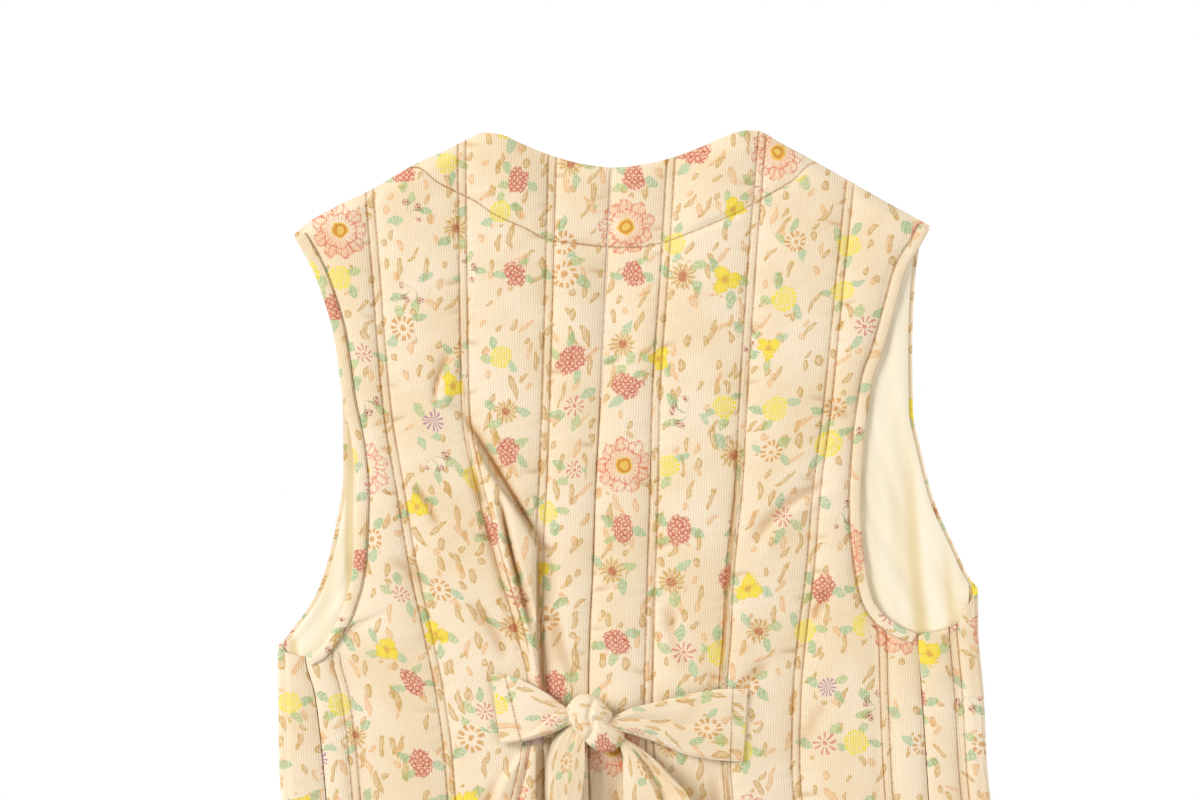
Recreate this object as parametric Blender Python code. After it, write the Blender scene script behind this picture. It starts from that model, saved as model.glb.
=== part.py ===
"""A quilted cotton waistcoat laid flat, front down, with its back tie done up in a bow.

Run with: blender --background --python part.py
Sizes in the tables are millimetres. x runs to the right and level runs down the garment from the neck points.
z = 0 is the surface that the fronts lie on.
"""

import math

import bmesh
import bpy
import numpy as np
from mathutils.bvhtree import BVHTree

MM = 0.001
BODY_LENGTH = 600.0
MIDDLE_LEVEL = 300.3

# How the layers stack, from the surface up.
FRONT_WALL = 3.2
SEAM_GAP = 0.3
LINING_WALL = 1.0
LINING_DROP = 11.0
BACK_INSIDE = 6.0
FOLD_INNER_RADIUS = (BACK_INSIDE - FRONT_WALL) / 2
FOLD_RADIUS = FOLD_INNER_RADIUS + FRONT_WALL
EDGE_DROP = BACK_INSIDE - FRONT_WALL - SEAM_GAP

# Quilting: padded channels between narrow strips with a row of stitching on each side.
STITCHED = 1.8
CREST = 5.2
STRIP_HALF = 2.75
CENTRE_SEAM_HALF = 0.4
BAND_WIDTH = 8.5
BAND_WALL = 1.2
BAND_END_LEFT = 366.5
BAND_END_RIGHT = 351.0
UNDERARM_LEVEL = 334.0
D_SHARE_LEFT = 0.76
D_SHARE_RIGHT = 0.70
D_FOOT_LEFT = 369.0
D_FOOT_RIGHT = 353.0
D_LEAN = 0.12
D_SHARE_ABOVE = 0.45
F_SHARE = 0.59
EDGE_TAPER = 11.0
FULL_CHANNEL = 26.0

# The quilted seams of the back, as laid.
SEAM_COLUMNS = ("level", "c_left", "b_left", "a_left", "centre", "a_right", "b_right", "c_right")
SEAM_ROWS = (
    (0, -194, -126, -62, -20, 22, 85, 150),
    (85, -187, -125, -64, -24, 17, 78, 141),
    (195, -178, -123, -67, -29, 10, 71, 130),
    (250, -169, -113, -69, -32, 9, 68, 123),
    (310, -159, -97, -72, -34, 7, 62, 118),
    (350, -150, -85, -72, -36, 6, 60, 113),
    (395, -141, -76, -68, -37, 5, 57, 109),
    (440, -135, -82, -66, -37, 6, 59, 108),
    (490, -132, -92, -66, -35, 8, 63, 112),
    (600, -131, -97, -61, -27, 15, 71, 122),
)

# The side folds, where the fronts turn over, and the side seams that they reach.
SIDE_COLUMNS = ("level", "fold_left", "side_left", "side_right", "fold_right")
SIDE_ROWS = (
    (353, -254.6, -235.0, 192.5, 236.0),
    (369, -255.0, -235.0, 193.8, 237.5),
    (395, -254.5, -228.5, 196.0, 240.0),
    (440, -254.0, -223.0, 199.0, 242.0),
    (490, -251.0, -219.0, 202.0, 247.0),
    (600, -247.0, -214.0, 207.0, 255.0),
)

# The outline's top edge as (x, level): left shoulder, neck, right shoulder.
BACK_TOP = (
    (-243.5, 73), (-229.5, 62), (-209, 51), (-190, 42), (-157, 23), (-137, 14), (-119, 5), (-110, 1.5),
    (-97, 3.5), (-86, 8.5), (-66, 16.5), (-41, 23.5), (-19, 26), (3, 23.5), (20, 19.5), (41, 12),
    (56, 5.5), (67, 1.5), (76, 0), (82, 0.5), (97, 8.5), (121, 21.5), (144, 34.5), (172, 50.5), (202.5, 67),
)
FRONT_TOP_LEFT = (
    (-243.5, 73), (-229.5, 62), (-209, 51), (-190, 42), (-157, 23), (-137, 14), (-119, 5), (-110, 2.5),
    (-104, 20), (-85, 75), (-60, 130), (-35, 178), (-12, 210),
)
FRONT_TOP_RIGHT = (
    (-12, 210), (6, 178), (28, 130), (52, 75), (70, 20), (76, 2), (82, 1),
    (97, 8.5), (121, 21.5), (144, 34.5), (172, 50.5), (202.5, 67),
)
NECK_POINT_LEFT = -111.0
NECK_POINT_RIGHT = 79.0
NECK_MIDDLE = -17.0
FRONT_NECK_DEPTH = 210.0
FRONT_NECK_HALF = 92.0

# Armhole edges as (level, x), each going on down its side seam. Those of the fronts are measured on the cloth
# unfolded at the side.
BACK_ARMHOLE_LEFT = (
    (73, -243.5), (92, -232.5), (111, -224.5), (143, -215), (188, -208.5), (221, -202), (254, -199),
    (292, -200), (316, -203), (330, -207), (342, -211.5), (352, -217), (364, -226), (369, -235),
    (395, -228.5), (440, -223), (490, -219), (600, -214),
)
BACK_ARMHOLE_RIGHT = (
    (67, 202.5), (83, 193.5), (98, 184.5), (121, 178), (155, 168.5), (175, 161.5), (222, 155), (259, 153),
    (285, 154), (314, 158), (326, 161), (338.5, 168), (348, 181), (353, 192.5),
    (395, 196), (440, 199), (490, 202), (600, 207),
)
FRONT_ARMHOLE_LEFT = (
    (73, -243.5), (95, -227), (119, -219), (154, -212), (189, -209.5), (241, -209), (276, -214), (311, -222.5),
    (329, -230), (346, -242), (360, -253), (366, -262), (369, -275), (395, -280.5), (440, -285), (490, -283),
    (600, -280),
)
FRONT_ARMHOLE_RIGHT = (
    (67, 202.5), (84, 194.5), (119, 191), (154, 190), (196, 190.5), (224, 196), (259, 205), (294, 220.5),
    (313, 229.5), (329, 241), (342, 248), (350, 261), (353, 279), (395, 284), (440, 285), (490, 292), (600, 303),
)
FRONT_EDGE = ((210, -12.0), (600, 4.0))

# Folds that the tie pulls into the back. The roll on the left runs from seam b to seam a, and flares below the bow.
ROLL_HEIGHT = ((205, 0), (225, 4.2), (260, 7.2), (330, 7.8), (395, 6), (430, 4.8))
ROLL_EDGE_SHARE = ((205, 0.04), (233, 0.17), (247, 0.30), (266, 0.58), (281, 0.80), (292, 1.0))
ROLL_SPLIT_SHARE = ((255, 0.30), (300, 0.38), (345, 0.78))
FLARE_HEIGHT = ((422, 0), (440, 5), (490, 6), (600, 5))
FLARE_EDGE = ((422, -76), (436, -84), (453, -96), (470, -105), (490, -110), (520, -113), (600, -115))
OVERLAP_HEIGHT = ((240, 0), (320, 2.5), (372, 4.5), (430, 4.5), (500, 3.5), (600, 2.5))

# The tie: flat double cotton 50 mm wide, gathered into a knot.
TIE_WALL = 1.6
KNOT_CENTRE = (-32.2, 414.3, 20.0)
KNOT_HALF = (23.0, 14.2, 7.5)
KNOT_CORNERS = 2.7
KNOT_NOTCH = 60.0
KNOT_NOTCH_WIDTH = 15.0
KNOT_CREASES = (
    ((-1.6, 15.4), (-4.0, 9.0), (-4.6, 3.6), (-1.6, -3.1), (-4.0, -9.1), (-7.0, -12.5)),
    ((9.0, 3.0), (4.0, 3.4), (-0.3, 3.6), (-1.6, -1.7)),
)
KNOT_CREASE_DEPTH = 2.4
KNOT_CREASE_HALF = 2.0
STRAP_COLUMNS = ("x", "top", "bottom")
STRAP_LEFT = ((-34, 408, 420), (-46, 405, 422), (-57, 402, 424), (-68, 400, 425))
STRAP_RIGHT = ((56, 401, 438), (40, 405, 434), (20, 407, 429), (-4, 409, 423), (-24, 410, 420))
TAIL_COLUMNS = ("x_top", "top", "x_bottom", "bottom", "height", "crease", "step", "swell")
TAIL_LEFT = (
    (-40.0, 409.0, -39.0, 414.0, 19.5, 0.20, 0.5, 0.3),
    (-52.4, 403.1, -47.7, 414.9, 19.0, 0.20, 1.6, 0.8),
    (-63.8, 394.8, -57.1, 418.9, 18.3, 0.53, 2.6, 1.2),
    (-79.9, 386.1, -69.2, 423.6, 17.5, 0.80, 2.2, 1.2),
    (-92.0, 381.5, -80.0, 426.4, 16.5, 0.90, 1.2, 0.9),
    (-105.1, 380.6, -98.6, 429.6, 13.5, 0.93, 0.2, 0.3),
)
TAIL_RIGHT = (
    (-28.0, 410.0, -26.0, 415.5, 19.0, 0.35, 0.2, 0.4),
    (-20.9, 409.5, -17.0, 419.2, 18.5, 0.35, 0.6, 1.2),
    (-6.2, 403.5, -1.0, 423.9, 18.0, 0.38, 0.9, 2.2),
    (13.9, 398.8, 13.0, 429.0, 17.0, 0.50, 0.9, 2.2),
    (34.0, 393.8, 32.0, 436.3, 16.8, 0.52, 0.5, 1.5),
    (55.0, 390.7, 54.0, 440.2, 16.4, 0.50, 0.1, 0.8),
    (74.1, 390.4, 70.8, 441.4, 14.5, 0.50, 0.0, 0.4),
)
LOOP_COLUMNS = ("level", "x_left", "x_right", "depth", "tilt", "hollow")
LOOP_LEFT = (
    (414.0, -48.0, -39.0, 3.0, 0, 0), (419.0, -54.0, -39.5, 3.6, 0, 0), (425.0, -60.5, -39.7, 4.6, 0, 0),
    (434.0, -64.7, -39.6, 6.5, 0, 0), (445.0, -66.8, -39.6, 8.5, 0, 0), (458.0, -67.2, -41.0, 9.5, 0, 0),
    (470.0, -66.5, -42.5, 9.5, 0, 0), (488.0, -63.0, -45.0, 9.0, 0, 0), (502.0, -58.0, -48.0, 7.5, 0, 0),
)
LOOP_RIGHT = (
    (418.0, -25.0, -17.0, 3.4, 0, 0), (424.0, -20.0, -12.5, 4.0, 0, 0), (430.0, -15.5, -3.5, 5.0, 1, 0),
    (439.0, -13.0, 8.5, 7.0, 3, 3.0), (448.5, -13.0, 18.0, 9.0, 5, 5.5), (463.0, -13.0, 31.5, 10.0, 6, 5.5),
    (478.0, -11.0, 38.0, 10.0, 6, 3.5), (490.0, -8.0, 40.5, 9.5, 5, 1.5), (504.0, -2.0, 40.0, 8.0, 4, 0),
)
HOLLOW_SHARE = 0.68
HOLLOW_HALF = 0.17
TURN_STEPS = 4


def metres(x, level, z):
    """World place of a point given by its x, its level below the neck points and its height."""
    return x * MM, (MIDDLE_LEVEL - level) * MM, z * MM


def curve(rows, at):
    """Value at each place on a smooth curve through (place, value) rows, with no overshoot between them."""
    place, value = np.array(rows, float).T
    secant = np.diff(value) / np.diff(place)
    same = secant[:-1] * secant[1:] > 0
    total = np.where(same, secant[:-1] + secant[1:], 1.0)
    middle = np.where(same, 2 * secant[:-1] * secant[1:] / total, 0.0)
    slope = np.concatenate([secant[:1], middle, secant[-1:]])
    at = np.clip(at, place[0], place[-1])
    i = np.clip(np.searchsorted(place, at) - 1, 0, len(place) - 2)
    width = place[i + 1] - place[i]
    t = (at - place[i]) / width
    return (
        value[i] * (1 + 2 * t) * (1 - t) ** 2
        + slope[i] * width * t * (1 - t) ** 2
        + value[i + 1] * t * t * (3 - 2 * t)
        + slope[i + 1] * width * t * t * (t - 1)
    )


def column(rows, columns, name):
    """(first column, named column) rows of a table."""
    i = columns.index(name)
    return [(row[0], row[i]) for row in rows]


def ease(value, low, high):
    """0 below low, 1 above high, and smooth between them."""
    t = np.clip((value - low) / (high - low), 0, 1)
    return t * t * (3 - 2 * t)


def seam(name, level):
    return curve(column(SEAM_ROWS, SEAM_COLUMNS, name), level)


def side(name, level):
    return curve(column(SIDE_ROWS, SIDE_COLUMNS, name), level)


def below_underarm(level):
    """0 beside the armholes and 1 below them, where the last channel is stitched in two."""
    return ease(level, UNDERARM_LEVEL, UNDERARM_LEVEL + 16)


def last_row(level, is_left):
    """Where the last double row crosses a level. Below the armhole it runs straight up, to under the band."""
    outward = -1.0 if is_left else 1.0
    armhole = BACK_ARMHOLE_LEFT if is_left else BACK_ARMHOLE_RIGHT
    c_name = "c_left" if is_left else "c_right"
    foot = D_FOOT_LEFT if is_left else D_FOOT_RIGHT
    low = np.maximum(level, foot)
    share = D_SHARE_LEFT if is_left else D_SHARE_RIGHT
    straight = seam(c_name, low) + share * (curve(armhole, low) - seam(c_name, low))
    straight = straight + D_LEAN * np.minimum(level - foot, 0)
    inside_band = curve(armhole, level) - outward * (BAND_WIDTH + 1.3 * STRIP_HALF)
    straight = outward * np.minimum(outward * straight, outward * inside_band)
    above = seam(c_name, level) + D_SHARE_ABOVE * (curve(armhole, level) - seam(c_name, level))
    return above + below_underarm(level) * (straight - above)


def back_seams(level):
    """Where the seams of the back cross a level, from its left edge to its right edge."""
    left, right = curve(BACK_ARMHOLE_LEFT, level), curve(BACK_ARMHOLE_RIGHT, level)
    names = ("c_left", "b_left", "a_left", "centre", "a_right", "b_right", "c_right")
    inner = [seam(name, level) for name in names]
    return [left, last_row(level, True), *inner, last_row(level, False), right]


def pillow(x, low, high):
    """0 at a channel's two seams and 1 along its middle; a narrow channel stays lower."""
    width = np.maximum(high - low, 0.5)
    share = np.clip((x - low) / width, 0, 1)
    return np.sqrt(4 * share * (1 - share)) * np.clip(width / FULL_CHANNEL, 0.3, 1)


def back_loft(x, level):
    """Thickness of the padded back: full along each channel, thin where it is stitched."""
    left, d_left, c_left, b_left, a_left, centre, a_right, b_right, c_right, d_right, right = back_seams(level)
    strip, middle = STRIP_HALF, CENTRE_SEAM_HALF
    puff = np.zeros_like(x)
    for low, high in (
        (c_left + strip, b_left - strip),
        (b_left + strip, a_left - strip),
        (a_left + strip, centre - middle),
        (centre + middle, a_right - strip),
        (a_right + strip, b_right - strip),
        (b_right + strip, c_right - strip),
    ):
        puff = np.maximum(puff, pillow(x, low, high))
    above = np.maximum(
        pillow(x, left + BAND_WIDTH, c_left - strip), pillow(x, c_right + strip, right - BAND_WIDTH)
    )
    below = np.zeros_like(x)
    for low, high in (
        (left, d_left - strip), (d_left + strip, c_left - strip),
        (c_right + strip, d_right - strip), (d_right + strip, right),
    ):
        below = np.maximum(below, pillow(x, low, high))
    under = below_underarm(level)
    puff = np.maximum(puff, above * (1 - under) + below * under)
    edge = np.minimum(level - curve(BACK_TOP, x), BODY_LENGTH - level)
    return STITCHED + (CREST - STITCHED) * puff * np.sqrt(np.clip(edge / EDGE_TAPER, 0, 1))


def back_folds(x, level):
    """Height that the folds pulled in by the tie lift the back."""
    seams = back_seams(level)
    b_left, a_left, b_right = seams[3], seams[4], seams[7]
    width = np.maximum(a_left - b_left, 1.0)
    share = (x - b_left) / width
    edge = curve(ROLL_EDGE_SHARE, level)
    rise = ease(x, b_left - 5, b_left + np.minimum(6, 0.5 * width))
    fall = 1 - ease(share, edge - 3.2 / width, edge + 2.8 / width)
    split = np.exp(-(((share - curve(ROLL_SPLIT_SHARE, level)) * width / 2.6) ** 2))
    split = split * ease(level, 250, 268) * (1 - ease(level, 335, 352))
    roll = curve(ROLL_HEIGHT, level) * rise * fall * (1 - 0.6 * split) * ease(level, 205, 212)
    roll = roll * (1 - ease(level, 418, 440))
    lip = curve(FLARE_EDGE, level)
    flare = ease(x, lip - 2.5, lip + 2.5) * (1 - ease(x, a_left - 9, a_left - 1))
    flare = flare * curve(FLARE_HEIGHT, level) * ease(level, 422, 428)
    beyond = np.exp(-(np.clip(x - b_right, 0, None) / 24) ** 2)
    overlap = curve(OVERLAP_HEIGHT, level) * ease(x, b_right - 5, b_right) * beyond * ease(level, 240, 250)
    return np.maximum(roll, flare) + overlap


def back_inside(x, level):
    """Height of the back's plain inner side: level on the fronts, dropping at the shoulders and in the open neck."""
    from_top = level - curve(BACK_TOP, x)
    past_neck = np.abs(x - NECK_MIDDLE) - FRONT_NECK_HALF
    shoulder = (1 - ease(from_top, 0, 9)) * ease(past_neck, -6, 4)
    neck_half = FRONT_NECK_HALF * (1 - level / FRONT_NECK_DEPTH)
    open_neck = ease(neck_half - np.abs(x - NECK_MIDDLE), 2, 42)
    drop = np.maximum(shoulder * EDGE_DROP, open_neck * (BACK_INSIDE - 1.5))
    return BACK_INSIDE - drop + back_folds(x, level)


def back_outside(x, level):
    return back_inside(x, level) + back_loft(x, level)


class Ground:
    """The built upper side of some pieces, as the height in millimetres at any x and level."""

    def __init__(self, pieces):
        corners, sides = [], []
        for piece in pieces:
            first = len(corners)
            corners += [vertex.co.copy() for vertex in piece.data.vertices]
            sides += [[first + i for i in face.vertices] for face in piece.data.polygons]
        self.tree = BVHTree.FromPolygons(corners, sides)

    def at(self, x, level):
        hit = self.tree.ray_cast(metres(x, level, 100.0), (0, 0, -1))[0]
        return hit.z / MM if hit else 0.0

    def resting(self, x, level, reach=6.0):
        """Height just clear of it, with its narrow grooves bridged, for cloth that lies on it."""
        x, level = np.broadcast_arrays(x, level)
        high = np.vectorize(self.at)(x, level)
        for turn in np.linspace(0, 2 * math.pi, 8, endpoint=False):
            for ring in (0.5 * reach, reach):
                beside = np.vectorize(self.at)(x + ring * math.cos(turn), level + ring * math.sin(turn))
                high = np.maximum(high, beside)
        return high + 1.2 * SEAM_GAP


def finish(mesh, name, colour, parent):
    """Makes the object of a finished mesh, smooth over gentle bends, in its own cotton."""
    mesh.update()
    mesh.shade_smooth()
    mesh.set_sharp_from_angle(angle=math.radians(50))
    material = bpy.data.materials.new(name)
    material.use_nodes = True
    shader = material.node_tree.nodes["Principled BSDF"]
    shader.inputs["Base Color"].default_value = (*colour, 1.0)
    shader.inputs["Roughness"].default_value = 0.9
    shader.inputs["Metallic"].default_value = 0.0
    mesh.materials.append(material)
    piece = bpy.data.objects.new(name, mesh)
    parent.objects.link(piece)
    return piece


def wall(name, inner, outer, colour, parent):
    """A closed wall of cloth between two grids of points in millimetres, each rows x columns x (x, level, z)."""
    rows, columns = inner.shape[:2]
    shape = bmesh.new()
    bmesh.ops.create_grid(shape, x_segments=columns - 1, y_segments=rows - 1, size=0.5)
    grown = bmesh.ops.extrude_face_region(shape, geom=shape.faces[:])
    moved = {item for item in grown["geom"] if isinstance(item, bmesh.types.BMVert)}
    for vertex in shape.verts:
        j = round((vertex.co.x + 0.5) * (columns - 1))
        i = round((0.5 - vertex.co.y) * (rows - 1))
        vertex.co = metres(*(outer if vertex in moved else inner)[i, j])
    bmesh.ops.recalc_face_normals(shape, faces=shape.faces[:])
    mesh = bpy.data.meshes.new(name)
    shape.to_mesh(mesh)
    shape.free()
    return finish(mesh, name, colour, parent)


def laid_out(knots, shares, top, rows):
    """x and level of each point of a panel: rows run down from its top edge, columns follow its seams."""
    x = np.zeros((len(rows), len(shares)))
    level = np.zeros_like(x)
    for i, row in enumerate(rows):
        for j, (k, share) in enumerate(shares):
            here = BODY_LENGTH * row
            for _ in range(14):
                low, high = knots(here)[k:k + 2]
                across = low + share * (high - low)
                start = curve(top, across)
                here = start + row * (BODY_LENGTH - start)
            x[i, j], level[i, j] = across, here
    return x, level


def grid(x, level, z):
    return np.stack([x, level, np.broadcast_to(z, x.shape)], axis=-1)


def shares_of(cells):
    """(knot, share) of each column of a panel whose stretches between knots are cut into these numbers of cells."""
    shares = [(k, cell / count) for k, count in enumerate(cells) for cell in range(count)]
    return shares + [(len(cells) - 1, 1.0)]


def back_half(name, is_left, colour, parent):
    """Half of the quilted back, from the centre seam to its armhole and side seam."""
    outward = -1.0 if is_left else 1.0

    def knots(level):
        seams = back_seams(level)
        centre, a, b, c, d, edge = seams[5::-1] if is_left else seams[5:]
        strip = outward * STRIP_HALF
        thin = strip * (0.15 + 0.85 * below_underarm(level))
        lines = [centre + outward * SEAM_GAP / 2, a - strip, a + strip, b - strip, b + strip]
        return lines + [c - strip, c + strip, d - thin, d + thin, edge - outward * BAND_WIDTH, edge]

    cells = [4, 1, 4, 1, 5, 1, 4, 1, 2, 1]
    rows = sorted({*BACK_ROWS, *(UNDERARM_ROWS_LEFT if is_left else UNDERARM_ROWS_RIGHT)})
    x, level = laid_out(knots, shares_of(cells), BACK_TOP, rows)
    low = back_inside(x, level)
    return wall(name, grid(x, level, low), grid(x, level, low + back_loft(x, level)), colour, parent)


def fold_over(x, level, is_left, inside):
    """Places a point of a front, given on the unfolded cloth, on its inner or outer side once it is folded."""
    outward = -1.0 if is_left else 1.0
    fold = side("fold_left" if is_left else "fold_right", level)
    past = outward * (x - fold)
    axis = fold - outward * FOLD_RADIUS
    turn = math.pi * np.clip((past + FOLD_RADIUS) / (2 * FOLD_RADIUS), 0, 1)
    radius = FOLD_INNER_RADIUS if inside else FOLD_RADIUS
    middle = FRONT_WALL + FOLD_INNER_RADIUS
    bent_x = axis + outward * radius * np.sin(turn)
    bent_z = middle - radius * np.cos(turn)
    flat_x = np.where(past > 0, fold - outward * past, x)
    return np.where(np.abs(past) < FOLD_RADIUS, bent_x, flat_x), bent_z


def wrap_loft(x, level, is_left):
    """How far the quilting stands above the folded-over side of a front."""
    if is_left:
        low, high = side("fold_left", level) + FOLD_RADIUS, side("side_left", level)
        return pillow(x, low - 6, high)
    low, high = side("side_right", level), side("fold_right", level) - FOLD_RADIUS
    line = low + F_SHARE * (high + FOLD_RADIUS - low)
    return np.maximum(pillow(x, low, line - STRIP_HALF), pillow(x, line + STRIP_HALF, high + 6))


def front(name, is_left, colour, parent):
    """One front: flat on the surface from the front edge to the side, then folded up over it to the side seam."""
    armhole = FRONT_ARMHOLE_LEFT if is_left else FRONT_ARMHOLE_RIGHT
    top = FRONT_TOP_LEFT if is_left else FRONT_TOP_RIGHT
    outward = -1.0 if is_left else 1.0
    neck = NECK_POINT_LEFT if is_left else NECK_POINT_RIGHT

    def knots(level):
        fold = side("fold_left" if is_left else "fold_right", level)
        outer = curve(armhole, level)
        reach = outward * outer
        begin = outward * min(reach - 6, outward * fold - FOLD_RADIUS)
        end = outward * min(reach - 3, outward * fold + FOLD_RADIUS)
        return [curve(FRONT_EDGE, level) + outward * SEAM_GAP / 2, neck, begin, end, outer]

    x, level = laid_out(knots, shares_of([3, 3, 6, 5]), top, FRONT_ROWS)
    in_x, in_z = fold_over(x, level, is_left, inside=True)
    out_x, out_z = fold_over(x, level, is_left, inside=False)
    seam_edge = outward * side("side_left" if is_left else "side_right", level) + 2 * SEAM_GAP
    on_top = out_z > 2 * FRONT_WALL
    in_x = np.where(on_top, outward * np.maximum(outward * in_x, seam_edge), in_x)
    out_x = np.where(on_top, outward * np.maximum(outward * out_x, seam_edge), out_x)
    stitched = BACK_INSIDE + STITCHED
    quilted = stitched + (CREST - STITCHED) * wrap_loft(out_x, level, is_left)
    settled = ease(np.abs(out_x - side("fold_left" if is_left else "fold_right", level)), FOLD_RADIUS, 9)
    out_z = np.where(on_top, out_z + settled * (quilted - out_z), out_z)
    return wall(name, grid(in_x, level, in_z), grid(out_x, level, out_z), colour, parent)


def lining(name, is_left, colour, parent):
    """The lining of one front, seen through the armhole."""
    armhole = FRONT_ARMHOLE_LEFT if is_left else FRONT_ARMHOLE_RIGHT
    front_top = FRONT_TOP_LEFT if is_left else FRONT_TOP_RIGHT
    top = [(x, level + LINING_DROP) for x, level in front_top]
    outward = -1.0 if is_left else 1.0
    neck = NECK_POINT_LEFT if is_left else NECK_POINT_RIGHT

    def knots(level):
        fold = side("fold_left" if is_left else "fold_right", level)
        reach = min(outward * curve(armhole, level) - 3.0, outward * fold - FOLD_RADIUS - 2)
        return [curve(FRONT_EDGE, level) + outward * 4, neck, outward * reach]

    x, level = laid_out(knots, shares_of([3, 3]), top, 0.965 * LINING_ROWS)
    low = FRONT_WALL + SEAM_GAP
    return wall(name, grid(x, level, low), grid(x, level, low + LINING_WALL), colour, parent)


def armhole_band(name, is_left, ground, colour, parent):
    """The cloth band that is stitched on along the armhole of the back and turned over its edge."""
    rows = BACK_ARMHOLE_LEFT if is_left else BACK_ARMHOLE_RIGHT
    last = BAND_END_LEFT if is_left else BAND_END_RIGHT
    inward = 1.0 if is_left else -1.0
    level = np.linspace(rows[0][0] + 2.5, last, 400)
    edge = np.stack([curve(rows, level), level], axis=-1)
    length = np.concatenate([[0], np.cumsum(np.linalg.norm(np.diff(edge, axis=0), axis=1))])
    stops = np.linspace(0, length[-1], 30)
    edge = np.stack([np.interp(stops, length, edge[:, k]) for k in (0, 1)], axis=-1)
    along = np.gradient(edge, axis=0)
    along /= np.linalg.norm(along, axis=1, keepdims=True)
    inner_way = inward * np.stack([along[:, 1], -along[:, 0]], axis=-1)
    across = np.array([-0.3, 2.5, 5.5, BAND_WIDTH])
    place = edge[:, None, :] + across[None, :, None] * inner_way[:, None, :]
    x, y = place[..., 0], place[..., 1]
    z = ground.resting(x, y, reach=2.5)
    return wall(name, grid(x, y, z), grid(x, y, z + BAND_WALL), colour, parent)


def strap(name, rows, ground, colour, parent):
    """The stretch of tie that runs from its seam, over the back, into the knot."""
    place, top, bottom = np.array(rows, float).T
    steps = np.linspace(0, len(place) - 1, 9)
    share = np.linspace(0, 1, 4)
    x = np.interp(steps, range(len(place)), place)[:, None] + 0 * share
    level = (1 - share) * np.interp(steps, range(len(place)), top)[:, None]
    level = level + share * np.interp(steps, range(len(place)), bottom)[:, None]
    low = ground.resting(x, level)
    low = np.maximum(low, 13.0 * ease(-np.abs(x - KNOT_CENTRE[0]), -34, -20))
    return wall(name, grid(x, level, low), grid(x, level, low + TIE_WALL), colour, parent)


def stations(rows, count):
    """The columns of a table, evenly resampled along its rows."""
    table = np.array(rows, float)
    stops = np.arange(len(table), dtype=float)
    steps = np.linspace(0, stops[-1], count)
    return [curve(np.stack([stops, values], axis=-1), steps)[:, None] for values in table.T]


def creased(share, crease, step, swell):
    """Height across a tail: a soft swell on each side of its crease, the lower side a step above the upper."""
    before = np.clip(share / crease, 0, 1)
    after = np.clip((share - crease) / (1 - crease), 0, 1)
    ledge = step * ease(after, 0, 0.15) * (1 - after**3)
    return swell * (np.sin(math.pi * before) + np.sin(math.pi * after)) + ledge


def tail(name, rows, ground, colour, parent):
    """A free end of the tie, fanned out from the knot on either side of one crease, to its hemmed end."""
    x_top, top, x_bottom, bottom, height, crease, step, swell = stations(rows, 14)
    before = np.linspace(0, 1, 6)[:-1]
    after = np.array([0, 0.15, 0.4, 0.7, 1])
    share = np.concatenate([crease * before, crease + (1 - crease) * after], axis=1)
    x = x_top + share * (x_bottom - x_top)
    level = top + share * (bottom - top)
    low = np.maximum(height + creased(share, crease, step, swell), ground.resting(x, level))
    return wall(name, grid(x, level, low), grid(x, level, low + TIE_WALL), colour, parent)


def loop(name, rows, ground, colour, parent):
    """A loop of the bow: the tie runs out of the knot, turns over at the end and comes back underneath."""
    level, left, right, depth, tilt, hollow = stations(rows, 12)
    share = np.array([[0, 0.2, 0.45, 0.6, 0.72, 0.88, 1]])
    across = left + share * (right - left)
    low = ground.resting(across, level)
    low = np.maximum(low, low.max(axis=1, keepdims=True) - 1.5)
    arch = 1.2 * np.sin(math.pi * share) + tilt * share**1.5
    sunk = hollow * np.exp(-(((share - HOLLOW_SHARE) / HOLLOW_HALF) ** 2))
    high = low + depth + arch - sunk
    turn = np.linspace(0, math.pi, TURN_STEPS + 1)[1:-1]
    middle, radius = (high[-1] + low[-1]) / 2, (high[-1] - low[-1]) / 2
    x, y, z = [across], [level + 0 * across], [high]
    for angle in turn:
        x.append(across[-1:])
        y.append(level[-1] + 1.2 * radius[None, :] * math.sin(angle))
        z.append((middle + radius * math.cos(angle))[None, :])
    x, y, z = (np.concatenate(stack) for stack in (x + [across[::-1]], y + [y[0][::-1]], z + [low[::-1]]))
    step_y, step_z = np.gradient(y, axis=0), np.gradient(z, axis=0)
    size = np.hypot(step_y, step_z)
    offset_y, offset_z = TIE_WALL / 2 * step_z / size, -TIE_WALL / 2 * step_y / size
    middle_z = z + TIE_WALL / 2
    return wall(
        name,
        grid(x, y + offset_y, middle_z + offset_z),
        grid(x, y - offset_y, middle_z - offset_z),
        colour,
        parent,
    )


def from_path(x, y, path):
    """Distance of a point from a line drawn through a few places."""
    nearest = math.inf
    for (x1, y1), (x2, y2) in zip(path, path[1:]):
        dx, dy = x2 - x1, y2 - y1
        share = min(max(((x - x1) * dx + (y - y1) * dy) / (dx * dx + dy * dy), 0), 1)
        nearest = min(nearest, math.hypot(x - x1 - share * dx, y - y1 - share * dy))
    return nearest


def knot_point(x, y, z):
    """Place on the knot, from its centre, of a point of a ball: a band from the upper left to the lower right."""
    turn = math.atan2(y, x)
    corners = (abs(math.cos(turn)) ** KNOT_CORNERS + abs(math.sin(turn)) ** KNOT_CORNERS) ** (-1 / KNOT_CORNERS)
    notch = 1 - 0.5 * math.exp(-(((math.degrees(turn) - KNOT_NOTCH) / KNOT_NOTCH_WIDTH) ** 2))
    along, over = KNOT_HALF[0] * x * corners * notch, KNOT_HALF[1] * y * corners * notch
    right, up = (along + over) * math.sqrt(0.5), (over - along) * math.sqrt(0.5)
    sunk = max(math.exp(-((from_path(right, up, path) / KNOT_CREASE_HALF) ** 2)) for path in KNOT_CREASES)
    height = KNOT_HALF[2] * z - KNOT_CREASE_DEPTH * sunk * max(z, 0) ** 0.5
    return right, up, height


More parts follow.
